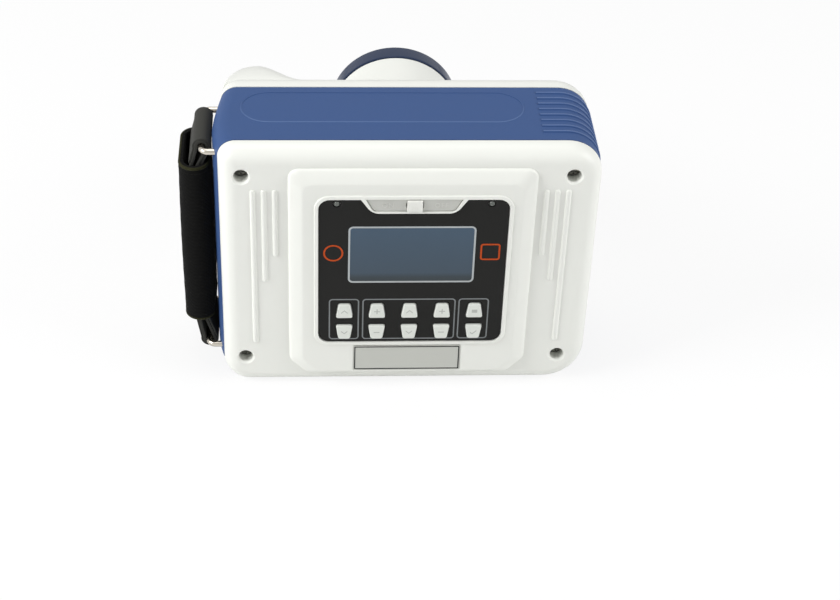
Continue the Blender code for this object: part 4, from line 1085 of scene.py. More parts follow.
    def panel_pocket(self) -> Piece:
        """Build the cutter for the notched panel pocket.

        Returns:
            The pocket's solid.
        """
        grow = 0.3 * MM
        made = rounded_slab(
            "pocket", (self.panel_x - self.panel_half - grow, NEAR, self.panel_low - grow),
            (self.panel_x + self.panel_half + grow, -34.3 * MM, self.panel_high + grow), (5.3 * MM,) * 4, 10)
        cut(made, self.trapezoid("notch", 24.1 * MM, 19.0 * MM, 103.1 * MM, 115.0 * MM, 3.0 * MM))
        return made

    def slider_recess(self) -> Piece:
        """Return the cutter for the power slider's recess."""
        return self.trapezoid("recess", 21.95 * MM, 18.6 * MM, 103.9 * MM, 110.7 * MM, 1.6 * MM, -34.8 * MM)

    def trapezoid(
        self, name: str, half_top: float, half_low: float, low: float, high: float, radius: float,
        back: float = -30.0 * MM,
    ) -> Piece:
        """Build a solid that narrows downwards, with round lower corners.

        Args:
            name: Name of the solid.
            half_top: Half its width at 110.4 mm.
            half_low: Half its width at its bottom.
            low: Height of its bottom.
            high: Height of its top.
            radius: Radius of its lower corners.
            back: Depth of its far side.

        Returns:
            The solid.
        """
        made = slab(name, (self.panel_x - half_low, -45 * MM, low), (self.panel_x + half_low, back, high))
        spread = half_low + (half_top - half_low) * (high - low) / (110.4 * MM - low)
        choose_points(made, lambda at: near(at.z, high))
        bpy.ops.transform.resize(value=(spread / half_low, 1, 1), center_override=(self.panel_x, 0, high))
        leave_edit()
        for side in BOTH_SIDES:
            round_corner(made, self.panel_x + side * half_low, low, radius, 6)
        return made

    def side_bulge(self, y: float) -> float:
        """Return how far the band's left side stands out at a depth."""
        along = min(max((y + self.half_band) / (2 * self.half_band), 0.0), 1.0)
        return self.bulge * math.sin(math.pi * along ** 0.75)

    def bulge_left(self, piece: Piece) -> None:
        """Cut a band solid into slices and push out its left side.

        Args:
            piece: The solid.
        """
        slices = 16
        depths = [-self.half_band + 2 * self.half_band * index / slices for index in range(1, slices)]
        for y in depths:
            choose_points(piece, lambda at: True)
            bpy.ops.mesh.bisect(plane_co=(0, y, 0), plane_no=(0, 1, 0))
            leave_edit()
        for y in depths:
            choose_points(piece, lambda at, y=y: near(at.y, y) and at.x < self.bulge_edge)
            bpy.ops.transform.translate(value=(-self.side_bulge(y), 0, 0))
            leave_edit()

    def band(self) -> Piece:
        """Build the blue middle band with its ribs.

        Returns:
            The finished moulding.
        """
        edge = self.half_band - self.gap / 2
        band = self.outline("blue_band", -edge, edge)
        self.bulge_left(band)
        add(band, weld([self.rib(y, 0.75 * MM, 0.42 * MM) for y in self.rib_depths()], "ribs"))
        inner = self.outline("inside", -edge - 1 * MM, edge + 1 * MM, -self.wall)
        self.bulge_left(inner)
        cut(band, inner)
        for z in (124.4 * MM, 14.0 * MM):
            for y in (-18 * MM, 18 * MM):
                cut(band, rod("bail hole", 1.8 * MM, (-95 * MM, y, z), (-80 * MM, y, z), 32))
        cut(band, rod("inlet hole", 5.3 * MM, (80 * MM, 0, 30 * MM), (95 * MM, 0, 30 * MM), 48),
            rod("bush hole", 6.3 * MM, (self.cone_x, 11 * MM, -3 * MM), (self.cone_x, 11 * MM, 6 * MM), 48))
        return band

    def rib_depths(self) -> list[float]:
        """Return the depths of the grip ribs' middles."""
        return [self.rib_first + index * self.rib_pitch for index in range(self.rib_count)]

    def rib(self, y: float, half: float, height: float, hollow: bool = False) -> Piece:
        """Build one grip rib, or a thin skin over its crest that carries a painted highlight, round the top right
        corner.

        Args:
            y: Depth of its middle.
            half: Half its width.
            height: How far it stands out.
            hollow: Whether only its outermost skin is kept.

        Returns:
            The rib.
        """
        made = self.outline("rib", y - half, y + half, height)
        for side in BOTH_SIDES:
            round_rim(made, lambda at, side=side: near(at.y, y + side * half), min(half, height) * 0.8, 4)
        combine(made, slab("region", (60 * MM, y - 3 * MM, 62 * MM), (100 * MM, y + 3 * MM, 150 * MM)), "INTERSECT")
        if hollow:
            cut(made, self.outline("inside", y - 2 * half, y + 2 * half, 0.05 * MM))
        return made

    def pressed_line(self) -> Piece:
        """Build the fine raised outline on the band's top.

        Returns:
            The outline, sunk into the band.
        """
        middle, length, radius, width, rise = -12 * MM, 65.0 * MM, 13.0 * MM, 0.35 * MM, 0.14 * MM
        solids = []
        for grow, above, below in ((width, rise, 0.3 * MM), (-width, 2 * MM, 2 * MM)):
            reach, half = length + grow, radius + grow
            made = slab("pressed_line", (middle - reach, self.line_y - half, self.height - below),
                        (middle + reach, self.line_y + half, self.height + above))
            for x in (middle - reach, middle + reach):
                for y in (self.line_y - half, self.line_y + half):
                    round_rim(made, lambda at: near(at.x, x) and near(at.y, y), half - 0.02 * MM, 14)
            solids.append(made)
        round_rim(solids[0], lambda at: near(at.z, self.height + rise), 0.12 * MM, 3)
        cut(*solids)
        return solids[0]

    def tapered(self, name: str, start: float, face: float, fillet: float, grow: float) -> Piece:
        """Build the front shell's form, drawn in to its face by a fillet.

        Args:
            name: Name of the solid.
            start: Depth of its open edge.
            face: Depth of its face.
            fillet: Radius of the fillet.
            grow: How much larger it is all round.

        Returns:
            The solid.
        """
        made = self.outline(name, start, face - fillet, grow)
        wide, tall = self.half_width + grow, self.height / 2 + grow
        depth, drawn = face - fillet, 0.0
        steps = 10
        for step in range(1, steps + 1):
            turn = math.radians(90) * step / steps
            ahead = face - fillet + fillet * math.sin(turn)
            inset = fillet * (1 - math.cos(turn))
            scale = ((wide - inset) / (wide - drawn), (tall - inset) / (tall - drawn))
            draw_in(made, depth, ahead, scale, (0, self.height / 2))
            depth, drawn = ahead, inset
        return made

    def face_depth(self, z: float, inset: float) -> float:
        """Return the front face's depth at a height, round its fillets.

        Args:
            z: The height.
            inset: How far inside the surface.

        Returns:
            The depth.
        """
        fillet = self.front_fillet - inset
        past = max(z - self.height + self.front_fillet, self.front_fillet - z, 0.0)
        return self.front_face - self.front_fillet + math.sqrt(fillet ** 2 - min(past, fillet) ** 2)

    def grip_section(self, z: float, shrink: float, full: float) -> list[Point]:
        """Return the grip's section at a height: an ellipse on the left, an S-curve on the right.

        Args:
            z: The height.
            shrink: How much smaller it is all round.
            full: Share of its full size that it has there.

        Returns:
            The section's points.
        """
        foot = 29.0 * MM
        crest = foot + (30.2 * MM - shrink) * full
        root = self.face_depth(z, shrink) - 0.3 * MM
        right = 25.0 * MM - shrink
        left = (16.5 * MM - shrink) * (0.8 + 0.2 * full)
        points = [(self.grip_x + right, foot)]
        for step in range(24):
            rise = 0.5 - 0.5 * math.cos(math.pi * step / 24)
            points.append((self.grip_x + right * (1 - step / 24), root + (crest - root) * rise))
        for step in range(21):
            turn = math.radians(90) * step / 20
            points.append((self.grip_x - left * math.sin(turn), foot + (crest - foot) * math.cos(turn)))
        return [(x, y, z) for x, y in points]

    def grip(self, shrink: float) -> Piece:
        """Build the grip bulge, level by level, with domed ends.

        Args:
            shrink: How much smaller it is all round.

        Returns:
            The bulge.
        """
        top, low = 119.6 * MM, 22.0 * MM
        angles = (10, 20, 29, 38, 47, 56, 65, 74, 82)
        levels = [(low - (16.0 * MM - shrink) * math.sin(math.radians(turn)), math.cos(math.radians(turn)))
                  for turn in reversed(angles)]
        levels += [(low, 1.0), (top, 1.0)]
        levels += [(top + (13.0 * MM - shrink) * math.sin(math.radians(turn)), math.cos(math.radians(turn)))
                   for turn in angles]
        made = flat_shape("grip", self.grip_section(levels[0][0], shrink, levels[0][1]))
        for (z, _), (ahead, full) in zip(levels, levels[1:]):
            extrude(made, 2, z, ahead)
            mesh = bmesh.from_edit_mesh(made.data)
            ring = [loop.vert for face in mesh.faces if face.select for loop in face.loops]
            order = sorted(ring, key=lambda vertex: vertex.index)
            for vertex, point in zip(order, self.grip_section(ahead, shrink, full)):
                vertex.co = point
            bmesh.update_edit_mesh(made.data)
            leave_edit()
        face_out(made)
        return made

    def front_casing(self) -> Piece:
        """Build the white front shell with its grip bulge.

        Returns:
            The finished moulding.
        """
        casing = self.tapered("front_casing", self.half_band + self.gap / 2, self.front_face, self.front_fillet, 0.0)
        add(casing, self.grip(0.0))
        cavity = self.tapered(
            "cavity", self.half_band - 2 * MM, self.front_face - self.wall, self.front_fillet - self.wall, -self.wall)
        cut(casing, cavity, self.grip(self.wall),
            rod("cone hole", 32.3 * MM, (self.cone_x, 30 * MM, self.cone_z), (self.cone_x, 45 * MM, self.cone_z)),
            rounded_slab("trigger hole", (-76.8 * MM, 45 * MM, 87.7 * MM), (-64.2 * MM, 70 * MM, 108.3 * MM),
                         (4.3 * MM,) * 4, 8))
        return casing


# ---------------------------------------------------------------- panel

@dataclass
class ControlPanel:
    """The panel film with its print, display, keys, slide switch, lamps and the bare plate below it."""

    middle: float = 1.4 * MM
    half: float = 43.15 * MM
    low: float = 29.3 * MM
    high: float = 110.3 * MM
    face: float = -36.0 * MM
    back: float = -34.6 * MM
    gap: float = 0.3 * MM
    display_x: float = 0.95 * MM
    display_half: float = 28.4 * MM
    display_low: float = 64.8 * MM
    display_high: float = 94.9 * MM
    key_middle: float = 0.9 * MM
    key_pitch: float = 15.3 * MM
    key_rows: Pair = (47.8 * MM, 35.4 * MM)
    key_half_wide: float = 3.95 * MM
    key_half_narrow: float = 2.75 * MM
    key_half_height: float = 3.9 * MM
    key_top: float = -37.2 * MM
    lamp_spacing: float = 35.1 * MM
    lamp_height: float = 108.0 * MM
    lamp_hole: float = 1.7 * MM
    key_back: float = -34.3 * MM
    slider_x: float = 1.6 * MM
    slider_z: float = 107.3 * MM

    def build(self) -> None:
        """Build and dress everything on the panel."""
        dress(self.film(), PANEL_FILM, HOUSING, "control_panel")
        dress(self.display(), DISPLAY_GLASS_PAINTED_SHADE, HOUSING, "display_window")
        self.print_lines()
        self.keys()
        self.switch()
        self.lamps()
        self.plate()

    def key_outline(self, grow: float, tall: float = 1.0) -> list[Pair]:
        """Return a key's corners about its middle, narrow end up.

        Args:
            grow: How much larger it is all round.
            tall: -1 turns the narrow end down.

        Returns:
            The four corners as (x, z).
        """
        wide = self.key_half_wide + grow
        narrow = self.key_half_narrow + grow
        half = self.key_half_height + grow
        return [(wide, -half * tall), (narrow, half * tall), (-narrow, half * tall), (-wide, -half * tall)]

    def film(self) -> Piece:
        """Build the notched panel with its openings.

        Returns:
            The panel.
        """
        made = rounded_slab("panel_film", (self.middle - self.half, self.face, self.low),
                            (self.middle + self.half, self.back, self.high), (5.0 * MM,) * 4, 12)
        grow = self.display_half + self.gap
        cut(made, Housing().trapezoid("notch", 24.4 * MM, 19.3 * MM, 102.8 * MM, 115.0 * MM, 3.0 * MM),
            rounded_slab("window", (self.display_x - grow, NEAR, self.display_low - self.gap),
                         (self.display_x + grow, FAR, self.display_high + self.gap), (1.8 * MM,) * 4, 6))
        holes = []
        for x, z, tall in self.key_places():
            hole = prism("key hole", [(x + px, z + pz) for px, pz in self.key_outline(self.gap, tall)], NEAR, FAR)
            round_all(hole, 1.1 * MM, 4)
            holes.append(hole)
        for side in BOTH_SIDES:
            x, z = self.middle + side * self.lamp_spacing, self.lamp_height
            holes.append(rod("lamp hole", self.lamp_hole, (x, NEAR, z), (x, FAR, z), 32))
        cut(made, weld(holes, "holes"))
        soften(made, 0.15 * MM, 2)
        return made

    def display(self) -> Piece:
        """Build the display's window, with a softly rounded rim.

        Returns:
            The window.
        """
        made = rounded_slab("display_glass", (self.display_x - self.display_half, self.face, self.display_low),
                            (self.display_x + self.display_half, self.back, self.display_high), (1.5 * MM,) * 4, 6)
        round_rim(made, lambda at: near(at.y, self.face), 0.12 * MM, 2)
        return made

    def line_box(self, name: str, low: Pair, high: Pair, radius: float, width: float) -> Piece:
        """Build a printed line round a rounded rectangle.

        Args:
            name: Name of the line.
            low: X and Z of its outer lowest corner.
            high: X and Z of its outer highest corner.
            radius: Radius of its outer corners.
            width: Width of the line.

        Returns:
            The line, standing barely proud of the panel.
        """
        (left, bottom), (right, top) = low, high
        made = rounded_slab(name, (left, self.face - 0.05 * MM, bottom), (right, self.face + 0.10 * MM, top),
                            (radius,) * 4, 8)
        cut(made, rounded_slab("inner", (left + width, NEAR, bottom + width), (right - width, FAR, top - width),
                               (radius - width,) * 4, 8))
        return made

    def print_lines(self) -> None:
        """Print the lines round the display and the keys, and the two plain orange outlines."""
        out = 0.8 * MM
        reach = self.display_half + out
        light = self.line_box("display_line", (self.display_x - reach, self.display_low - out),
                              (self.display_x + reach, self.display_high + out), 2.3 * MM, 0.85 * MM)
        dress(light, PRINT_GREY, HOUSING)
        dim = [self.line_box("key line", (left * MM, 30.6 * MM), (right * MM, 54.5 * MM), 1.8 * MM, 0.6 * MM)
               for left, right in ((-37.0, -22.8), (-21.3, 22.5), (23.8, 38.2))]
        dress(weld(dim, "key_lines"), PRINT_DIM, HOUSING)
        orange = [self.line_box("round mark", (-39.7 * MM, 76.3 * MM), (-30.5 * MM, 85.5 * MM), 4.5 * MM, out),
                  self.line_box("square mark", (32.5 * MM, 76.7 * MM), (41.7 * MM, 85.9 * MM), 1.4 * MM, out)]
        dress(weld(orange, "orange_marks"), PRINT_ORANGE, HOUSING)

    def key_places(self) -> list[tuple[float, float, int]]:
        """Return each key's middle, and 1 where its narrow end is up or -1 where it is down."""
        columns = [self.key_middle + (index - 2) * self.key_pitch for index in range(5)]
        return [(x, self.key_rows[0], 1) for x in columns] + [(x, self.key_rows[1], -1) for x in columns]

    def key(self, tall: int) -> Piece:
        """Build one key about the origin, with a soft top, its flange and its foot.

        Args:
            tall: 1 with the narrow end up, -1 with it down.

        Returns:
            The key.
        """
        made = prism("key", self.key_outline(0.0, tall), self.key_top, self.key_back)
        round_all(made, 1.0 * MM, 5)
        round_rim(made, lambda at: near(at.y, self.key_top), 0.55 * MM, 5)
        flange = prism("flange", self.key_outline(0.9 * MM, tall), self.key_back, -33.6 * MM)
        round_all(flange, 1.0 * MM, 2)
        add(flange, prism("foot", self.key_outline(-1.2 * MM, tall), -33.7 * MM, -31.9 * MM))
        choose_points(made, lambda at: near(at.y, self.key_back))
        bpy.ops.transform.translate(value=(0, 0.1 * MM, 0))
        leave_edit()
        add(made, flange)
        return made

    def keys(self) -> None:
        """Model one key and one of each mark, and copy them to their ten places."""
        models = {tall: self.key(tall) for tall in (1, -1)}
        for index, (x, z, tall) in enumerate(self.key_places()):
            body = f"key_{index + 1:02d}"
            cap = copied(models[tall], f"{body}_cap", (x, 0.0, z))
            dress(cap, KEY_PLASTIC, body, body)
            mark = prism(f"{body}_mark", KEY_MARKS[index], self.key_top - 0.04 * MM, self.key_top + 0.3 * MM)
            mark.location = (x, 0.0, z)
            settle(mark)
            soften(mark, 0.03 * MM, 1)
            dress(mark, KEY_MARK, body)
        for model in models.values():
            bpy.data.objects.remove(model, do_unlink=True)

    def switch(self) -> None:
        """Build the grey recess plate with its raised words, and the slider."""
        plate = Housing().trapezoid("switch_bed", 21.65 * MM, 18.3 * MM, 104.2 * MM, 110.4 * MM, 1.6 * MM, -35.1 * MM)
        place = (self.slider_x, self.slider_z)
        cut(plate, slab("trim", (-60 * MM, -50 * MM, 90 * MM), (60 * MM, -35.9 * MM, 120 * MM)),
            centred_slab("slot", place, (4 * MM, 1.4 * MM), (NEAR, FAR)))
        soften(plate, 0.12 * MM, 2)
        dress(plate, RECESS_PLASTIC, HOUSING, "switch_plate")
        words = [raised_word(text, (x, -35.9 * MM, self.slider_z - 0.1 * MM), 3.3 * MM, 0.16 * MM)
                 for text, x in (("ON", -10.6 * MM), ("OFF", 13.6 * MM))]
        dress(weld(words, "switch_words"), WORD_PLASTIC, HOUSING)
        top = -37.3 * MM
        cap = centred_slab("slider_cap", place, (3.5 * MM, 2.9 * MM), (top, -36.2 * MM), 0.5 * MM)
        round_rim(cap, lambda at: near(at.y, top), 0.3 * MM, 3)
        grooves = []
        for step in (-1, 0, 1):
            x = self.slider_x + step * 1.2 * MM
            grooves.append(slab("groove", (x - 0.16 * MM, top - 1 * MM, self.slider_z - 2.0 * MM),
                                (x + 0.16 * MM, top + 0.18 * MM, self.slider_z - 0.2 * MM)))
        cut(cap, weld(grooves, "grooves"))
        add(cap, centred_slab("stem", place, (1.2 * MM, 1.1 * MM), (-36.4 * MM, -31.6 * MM)),
            centred_slab("skirt", place, (7 * MM, 2.4 * MM), (-32.0 * MM, -31.4 * MM)))
        dress(cap, SLIDER_PLASTIC, "power_slider", "power_slider")

    def lamps(self) -> None:
        """Build the two small lamps."""
        for name, side in (("power_lamp", -1), ("exposure_lamp", 1)):
            x = self.middle + side * self.lamp_spacing
            points = [(0.0, -36.32), (0.6, -36.26), (1.05, -36.08), (1.3, -35.75), (1.3, -31.6), (1.9, -31.6),
                      (1.9, -30.9), (0.0, -30.9)]
            lens = turned(f"{name}_lens", points, "Y", (x, 0.0, self.lamp_height), False, 32)
            dress(lens, LAMP_LENS, HOUSING, name)

    def plate(self) -> None:
        """Build the bare plate with its thin dark border."""
        low, high, half, middle = 11.75 * MM, 26.3 * MM, 25.5 * MM, 0.4 * MM
        made = rounded_slab("bare_name_plate", (middle - half, -36.0 * MM, low), (middle + half, -35.4 * MM, high),
                            (0.5 * MM,) * 4, 4)
        soften(made, 0.08 * MM, 2)
        dress(made, BARE_PLATE, HOUSING, "name_plate")
        inset = 0.35 * MM
        border = self.line_box("plate_border", (middle - half + inset, low + inset),
                               (middle + half - inset, high - inset), 0.6 * MM, 0.55 * MM)
        dress(border, PRINT_BLACK, HOUSING)


# ---------------------------------------------------------------- cone

@dataclass
class AimingCone:
    """The aiming cone: barrel, end ring, lead liner and collimator."""

    centre: Point = (-1.5 * MM, 0.0, 77.5 * MM)

    def build(self) -> None:
        """Build and dress the cone's pieces."""
        barrel = [(29.2, 32.2), (36.0, 32.2), (36.0, 34.2), (32.0, 34.2), (32.0, 92.4), (31.8, 92.85), (31.4, 93.0),
                  (29.2, 93.0)]
        dress(self.ring("barrel", barrel), WHITE_SHELL, HOUSING, "cone_barrel")
        lip = [(28.6, 93.3), (31.9, 93.3), (32.35, 93.5), (32.6, 94.0), (32.6, 101.9), (32.45, 102.6), (32.0, 103.15),
               (31.3, 103.4), (29.5, 103.4), (28.9, 103.2), (28.6, 102.6)]
        dress(self.ring("end_ring", lip), NAVY_RING, HOUSING, "cone_end_ring")
        liner = [(27.7, 32.4), (28.9, 32.4), (28.9, 92.5), (27.7, 92.5)]
        dress(self.ring("lead_liner", liner), LEAD_SHEET, HOUSING, "cone_liner")
        disc = [(9.0, 29.9), (28.9, 29.9), (28.9, 31.9), (9.8, 31.9), (9.0, 31.3)]
        dress(self.ring("collimator_disc", disc), LEAD_SHEET, HOUSING, "beam_collimator")

    def ring(self, name: str, points: Sequence[Pair]) -> Piece:
        """Return a ring turned about the beam from a section of (radius, depth) in millimetres."""
        return turned(name, points, "Y", self.centre, True, 128)


# ---------------------------------------------------------------- strap

@dataclass
class HandStrap:
    """Hand strap: two wire bails, the webbing loop and the padded sleeve it runs through."""

    bail_x: float = -94.4 * MM
    bail_heights: Pair = (124.4 * MM, 14.0 * MM)
    bail_half: float = 18.0 * MM
    wire_radius: float = 1.5 * MM
    inner_x: float = -82.3 * MM
    pad_x: float = -98.3 * MM
    pad_low: float = 28.5 * MM
    pad_high: float = 115.3 * MM
    pad_half_x: float = 7.5 * MM
    pad_half_y: float = 18.0 * MM
    thick: float = 1.6 * MM
    strap_half: float = 14.0 * MM
    arc_points: int = 15

    def build(self) -> None:
        """Build and dress the bails, the webbing and the sleeve."""
        for name, z in zip(("top", "low"), self.bail_heights):
            dress(self.bail(f"wire_bail_{name}", z), BAIL_WIRE, HOUSING, f"strap_bail_{name}")
        webbing, sleeve = self.webbing(), self.sleeve()
        dress(webbing, WEBBING, HOUSING, "strap_webbing", angle=50)
        dress(sleeve, PAD_KNIT, HOUSING, "strap_pad", angle=60)
        for name, edge, up in (("top", self.pad_high, 1), ("low", self.pad_low, -1)):
            dress(self.binding(f"sleeve_binding_{name}", edge, up), PAD_BINDING, HOUSING, angle=60)
        dress(self.stitches(), STITCH_THREAD, HOUSING)
        folds = [self.fold("webbing_fold_top", 0), self.fold("webbing_fold_low", 1)]
        for piece in folds:
            dress(piece, WEBBING, HOUSING, angle=50)
        self.loop_length()

    def bail(self, name: str, z: float) -> Piece:
        """Build one bent wire bail.

        Args:
            name: Name of the bail.
            z: Its height.

        Returns:
            The bail.
        """
        bend = 3.0 * MM
        points = [(self.inner_x, -self.bail_half, z)]
        for side in BOTH_SIDES:
            for step in range(13):
                turn = math.radians(90 * (step if side < 0 else 12 - step) / 12)
                points.append((self.bail_x + bend - bend * math.sin(turn),
                               side * (self.bail_half - bend + bend * math.cos(turn)), z))
        points.append((self.inner_x, self.bail_half, z))
        return wire(name, points, self.wire_radius)

    def loop_points(self) -> list[Pair]:
        """Trace the webbing's middle line round the loop.

        Returns:
            Its points as (x, z).
        """
        radius = self.wire_radius + 0.3 * MM + self.thick / 2
        spread, inset = 1.3 * MM, 2 * MM
        heights = (self.pad_high - inset, self.pad_low + inset)
        runs = ((self.bail_heights[0], -20, self.pad_x - spread, heights),
                (self.bail_heights[1], 160, self.pad_x + spread, heights[::-1]))
        points = []
        for middle, start, x, run in runs:
            for step in range(self.arc_points):
                turn = math.radians(start + 220 * step / (self.arc_points - 1))
                points.append((self.bail_x + radius * math.cos(turn), middle + radius * math.sin(turn)))
            points += [(x, z) for z in run]
        return points

    def loop_length(self) -> float:
        """Return the webbing's length round the loop."""
        points = self.loop_points()
        return sum(math.dist(a, b) for a, b in zip(points, points[1:] + points[:1]))

    def webbing(self) -> Piece:
        """Build the webbing loop, with round selvages.

        Returns:
            The webbing.
        """
        points, half = self.loop_points(), self.strap_half
        outer = prism("strap_webbing_loop", beside(points, self.thick / 2, True), -half, half)
        cut(outer, prism("inner", beside(points, -self.thick / 2, True), -half - 5 * MM, half + 5 * MM))
        soften(outer, 0.45 * MM, 3, 60)
        return outer

    def fold(self, name: str, end: int) -> Piece:
        """Build the doubled layer where the webbing turns round a bail.

        Args:
            name: Name of the layer.
            end: 0 at the upper bail, 1 at the lower one.

        Returns:
            The layer, which follows the loop's outer face.
        """
        points = self.loop_points()
        first = (self.arc_points + 2) * end
        past = first + self.arc_points
        arc = points[first:past]
        ends = [tuple(Vector(near_end).lerp(Vector(beyond), 0.8))
                for near_end, beyond in ((arc[0], points[first - 1]), (arc[-1], points[past % len(points)]))]
        path = [ends[0], *arc, ends[1]]
        inner = beside(path, self.thick / 2 - 0.1 * MM, False)
        outer = beside(path, self.thick / 2 + 0.9 * MM, False)
        half = self.strap_half - 0.2 * MM
        made = prism(name, inner + outer[::-1], -half, half)
        soften(made, 0.3 * MM, 2, 60)
        return made

    def oval(self, grow: float, steps: int = 24) -> list[Pair]:
        """Return the sleeve's oval section as (x, y) points.

        Args:
            grow: How much larger it is all round.
            steps: Number of steps in each half circle.

        Returns:
            The points.
        """
        radius = self.pad_half_x + grow
        straight = self.pad_half_y - self.pad_half_x
        points = []
        for start, y in ((0, straight), (180, -straight)):
            for step in range(steps + 1):
                turn = math.radians(start + 180 * step / steps)
                points.append((self.pad_x + radius * math.cos(turn), y + radius * math.sin(turn)))
        return points

    def fullness(self, z: float) -> float:
        """Return the share of its full thickness that the sleeve has at a height."""
        along = (z - self.pad_low) / (self.pad_high - self.pad_low)
        return 1.0 - 0.06 * (1.0 - math.sin(math.pi * along))

    def sleeve(self) -> Piece:
        """Build the padded sleeve, fullest at its middle and open for the webbing.

        Returns:
            The sleeve.
        """
        levels = 30
        made = flat_shape("padded_sleeve", [(x, y, self.pad_low) for x, y in self.oval(0.0)])
        height, full = self.pad_low, 1.0
        for level in range(levels + 1):
            target = self.pad_low + (self.pad_high - self.pad_low) * level / levels
            scale = self.fullness(target) - (0.006 * math.sin(level * 1.9) * (0 < level < levels))
            if level:
                extrude(made, 2, height, target)
            else:
                choose_points(made, lambda at: True)
            bpy.ops.transform.resize(value=(scale / full, 1, 1), center_override=(self.pad_x, 0, target))
            leave_edit()
            height, full = target, scale
        face_out(made)
        below, above = self.pad_low - 5 * MM, self.pad_high + 5 * MM
        hollow = flat_shape("hollow", [(x, y, below) for x, y in self.oval(-2.9 * MM, 16)])
        extrude(hollow, 2, below, above)
        leave_edit()
        face_out(hollow)
        cut(made, hollow)
        soften(made, 0.8 * MM, 4, 60)
        return made

    def binding(self, name: str, edge: float, up: int) -> Piece:
        """Build the tape that binds one mouth of the sleeve.

        Args:
            name: Name of the tape.
            edge: Height of the mouth.
            up: 1 at the upper mouth, -1 at the lower one.

        Returns:
            The tape as a rounded hoop round the mouth.
        """
        narrow = 0.94
        points = [(self.pad_x + (x - self.pad_x) * narrow, y, edge - up * 0.7 * MM)
                  for x, y in self.oval(-0.55 * MM, 28)]
        return wire(name, points, 0.75 * MM, closed=True)

    def stitches(self) -> Piece:
        """Build the rows of stitches beside the two bindings.

        Returns:
            The stitches as one object.
        """
        threads = []
        for edge, up in ((self.pad_high, 1), (self.pad_low, -1)):
            z = edge - up * 3.1 * MM
            scale = self.fullness(z)
            around = [(self.pad_x + (x - self.pad_x) * scale, y, z) for x, y in self.oval(0.02 * MM, 20)]
            for start, end in zip(map(Vector, around), map(Vector, around[1:] + around[:1])):
                length = (end - start).length
                count = max(int(length / (1.9 * MM)), 1)
                for part in range(count):
                    first, last = (start.lerp(end, (part + share) / count) for share in (0.15, 0.80))
                    if (last - first).length > 0.3 * MM:
                        threads.append(wire("stitch", [tuple(first), tuple(last)], 0.13 * MM, sides=2))
        return weld(threads, "sleeve_stitches")


# ---------------------------------------------------------------- fittings

@dataclass
class Fittings:
    """Housing screws, exposure trigger, charging inlet, tripod bush and all that stays inside."""

    screw_floor: float = -24.8 * MM
    trigger: Pair = (-70.5 * MM, 98.0 * MM)
    inlet: Point = (0.0, 0.0, 30.0 * MM)
    bush: Point = (-1.5 * MM, 11.0 * MM, 0.0)

    def build(self) -> None:
        """Build and dress the fittings, then finish the nodes that stay."""
        self.screws()
        dress(self.trigger_button(), TRIGGER_PLASTIC, "exposure_trigger", "exposure_trigger")
        socket = [(1.0, 86.2), (0.8, 86.5), (0.0, 86.5)]
        pin = turned("inlet_pin", socket + [(0.0, 80.4), (1.0, 80.4)], "X", self.inlet, False, 32)
        dress(pin, SCREW_ZINC, HOUSING)
        shell = [(0.0, 80.5), (2.9, 80.5), (2.9, 87.2), (3.1, 87.45), (4.3, 87.6), (4.75, 87.5), (5.0, 87.2),
                 (5.0, 83.9), (6.6, 83.9), (6.6, 82.4), (4.0, 82.4), (4.0, 74.0), (0.0, 74.0)]
        dress(turned("inlet_barrel", shell, "X", self.inlet, False, 64), PART_PLASTIC, HOUSING, "charging_inlet")
        thread = [(6.0, 10.0), (6.0, 4.6), (8.5, 4.6), (8.5, 2.8), (6.0, 2.8), (6.0, 0.45), (5.8, 0.3), (3.7, 0.3)]
        for turn in range(9):
            z = 0.9 + turn * 0.75
            thread += [(3.2, z - 0.18), (3.2, z + 0.10), (3.55, z + 0.38)]
        thread += [(3.2, 7.9), (0.0, 7.9), (0.0, 10.0)]
        dress(turned("tripod_bush_brass", thread, "Z", self.bush, False, 64), BUSH_BRASS, HOUSING, "tripod_bush")
        for name, finish in INNER_FINISHES.items():
            finish_node(name, finish)

    def screws(self) -> None:
        """Model one pan head screw with a cross recess and copy it to the four counterbores."""
        head = self.screw_floor / MM - 0.3
        points = [(0.0, head - 2.2), (1.2, head - 2.12), (2.2, head - 1.8), (2.8, head - 1.3), (3.1, head - 0.6),
                  (3.1, head), (1.2, head), (1.2, -10.0), (0.5, -8.5), (0.0, -8.5)]
        model = turned("screw", points, "Y", (0.0, 0.0, 0.0), False, 32)
        bars = [
            slab("bar", (-half_x * MM, (head - 3) * MM, -half_z * MM), (half_x * MM, (head - 1.0) * MM, half_z * MM))
            for half_x, half_z in ((1.5, 0.3), (0.3, 1.5))
        ]
        add(bars[0], bars[1])
        cut(model, bars[0])
        for index, (x, z) in enumerate(Housing().screws, start=1):
            screw = copied(model, f"pan_screw_{index}", (x, 0.0, z))
            dress(screw, SCREW_ZINC, HOUSING, f"housing_screw_{index}")
        bpy.data.objects.remove(model, do_unlink=True)

    def trigger_button(self) -> Piece:
        """Build the exposure trigger with its grip lines and flange.

        Returns:
            The trigger.
        """
        x, z = self.trigger
        face = 60.4 * MM
        made = centred_slab("trigger_button", self.trigger, (6 * MM, 10 * MM), (50.0 * MM, face), 4.0 * MM, 10)
        round_rim(made, lambda at: near(at.y, face), 1.3 * MM, 6)
        flange = centred_slab("flange", self.trigger, (6.9 * MM, 10.9 * MM), (50.0 * MM, 51.2 * MM), 4.0 * MM, 6)
        add(flange, centred_slab("stem", self.trigger, (3.5 * MM, 7.5 * MM), (49.0 * MM, 50.5 * MM), 1.5 * MM))
        add(made, flange)
        depth, half, pitch = 60.55 * MM, 3.6 * MM, 2.2 * MM
        heights = [z + step * pitch for step in range(-2, 3)]
        grooves = [rod("groove", 0.45 * MM, (x - half, depth, at), (x + half, depth, at), 16) for at in heights]
        cut(made, weld(grooves, "grooves"))
        return made


